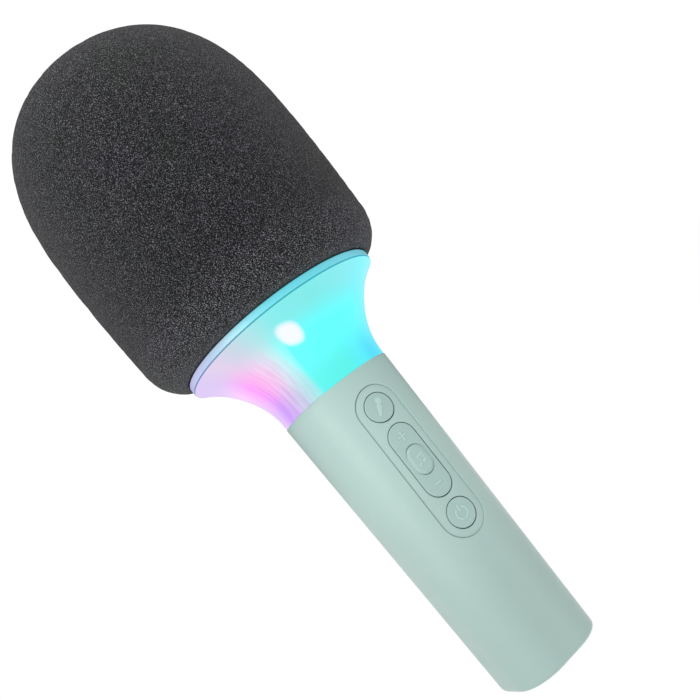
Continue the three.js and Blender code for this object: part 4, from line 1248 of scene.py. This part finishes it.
def cross_mesh():
    """The cross inside the dome that carries the capsule, with a bore for its lead."""
    mesh = bmesh.new()
    half = CROSS_WIDTH / 2
    edge = spaced(-half, half, 4)
    reaches = spaced(half, CROSS_REACH, 8)
    square = []
    for quarter in range(4):
        turn = Matrix.Rotation(math.pi / 2 * quarter, 3, "Z")
        square += [turn @ Vector((half, y, CROSS_Z)) for y in edge[:-1]]
        arm = [[mesh.verts.new(turn @ Vector((x, y, CROSS_Z))) for y in edge] for x in reaches]
        for near, far in zip(arm, arm[1:]):
            for k in range(4):
                mesh.faces.new((near[k], far[k], far[k + 1], near[k + 1]))
    bore = [p.xy.normalized() * CROSS_BORE for p in square]
    rings = [square, [Vector((*p, CROSS_Z)) for p in bore]]
    grid_faces(mesh, [[mesh.verts.new(p) for p in ring] for ring in rings])
    return mesh


CAGE = INNER_MATERIALS["basket_plastic"]
CAGE_EDGE = 0.3
cage = finish_mesh("cage_shell", cage_mesh(), CAGE, "handle", ["basket_cage"])
cross = finish_mesh("cage_cross", cross_mesh(), CAGE, "handle")
thicken(cage, CAGE_WALL)
thicken(cross, CROSS_THICKNESS, centred=True)
for piece in (cage, cross):
    round_edges(piece, CAGE_EDGE)

# ---- CAD pieces that stay

SLOT_OF = {part["node"]: part["material_slot"] for part in frame["record"]["subparts"]}
for name, cad_node in frame["nodes"].items():
    if SLOT_OF[name] in INNER_MATERIALS:
        cad_node.data.materials.clear()
        cad_node.data.materials.append(INNER_MATERIALS[SLOT_OF[name]])

# ---- studio

WORLD_LIGHT = 0.48
WORLD_SEEN = 1.02
WORLD_MIRRORED = 0.15
FLOOR_SIZE = 12.0
FLOOR_DROP = 0.0004
FLOOR_GLOW = 0.92
FLOOR_TONE = 0.16
# Each soft light: its name, its place to the right, up and towards the camera, its size and its power.
SOFTBOXES = (
    ("key_light", -0.32, 0.30, 0.30, 0.26, 1.35),
    ("gloss_light", -0.37, -0.235, 0.52, 0.4, 1.25),
    ("rim_light", 0.12, 0.62, -0.2, 0.3, 0.6),
)


def add_floor():
    """A pale floor, lit from within so that it meets the backdrop without a line."""
    bpy.ops.mesh.primitive_plane_add(size=FLOOR_SIZE, location=(0, 0, -FLOOR_DROP))
    floor = bpy.context.object
    floor.name = "floor"
    material, tree, shader = new_material("pale_floor")
    values = {
        "Base Color": grey(FLOOR_TONE),
        "Emission Color": grey(1.0),
        "Emission Strength": FLOOR_GLOW,
        "Roughness": 0.9,
        "Specular IOR Level": 0.0,
    }
    feed_all(tree, shader, values)
    floor.data.materials.append(material)


def add_softbox(name, right, up, toward, size, power):
    """A square light that aims at the middle of the object, placed along the camera's axes."""
    axes = camera_axes()
    target = Vector((0, 0, cad_bounds[1][2] / 2))
    offset = axes[0] * right + axes[1] * up - axes[2] * toward
    data = bpy.data.lights.new(name, "AREA")
    data.shape = "SQUARE"
    data.size = size
    data.energy = power
    lamp = bpy.data.objects.new(name, data)
    lamp.location = target + offset
    lamp.rotation_euler = (-offset).to_track_quat("-Z", "Y").to_euler()
    bpy.context.collection.objects.link(lamp)


def add_world():
    """A white backdrop that gives a softer light than it shows."""
    world = bpy.data.worlds.new("studio")
    bpy.context.scene.world = world
    world.use_nodes = True
    tree = world.node_tree
    background = tree.nodes["Background"]
    background.inputs["Color"].default_value = (1, 1, 1, 1)
    rays = node(tree, "ShaderNodeLightPath").outputs
    seen = scaled(tree, rays["Is Camera Ray"], WORLD_SEEN - WORLD_LIGHT)
    mirrored = scaled(tree, rays["Is Glossy Ray"], WORLD_MIRRORED - WORLD_LIGHT)
    feed(tree, background.inputs["Strength"], added(tree, added(tree, seen, mirrored), WORLD_LIGHT))


add_camera()
add_floor()
for softbox in SOFTBOXES:
    add_softbox(*softbox)
add_world()
bpy.context.scene.view_settings.view_transform = "Standard"
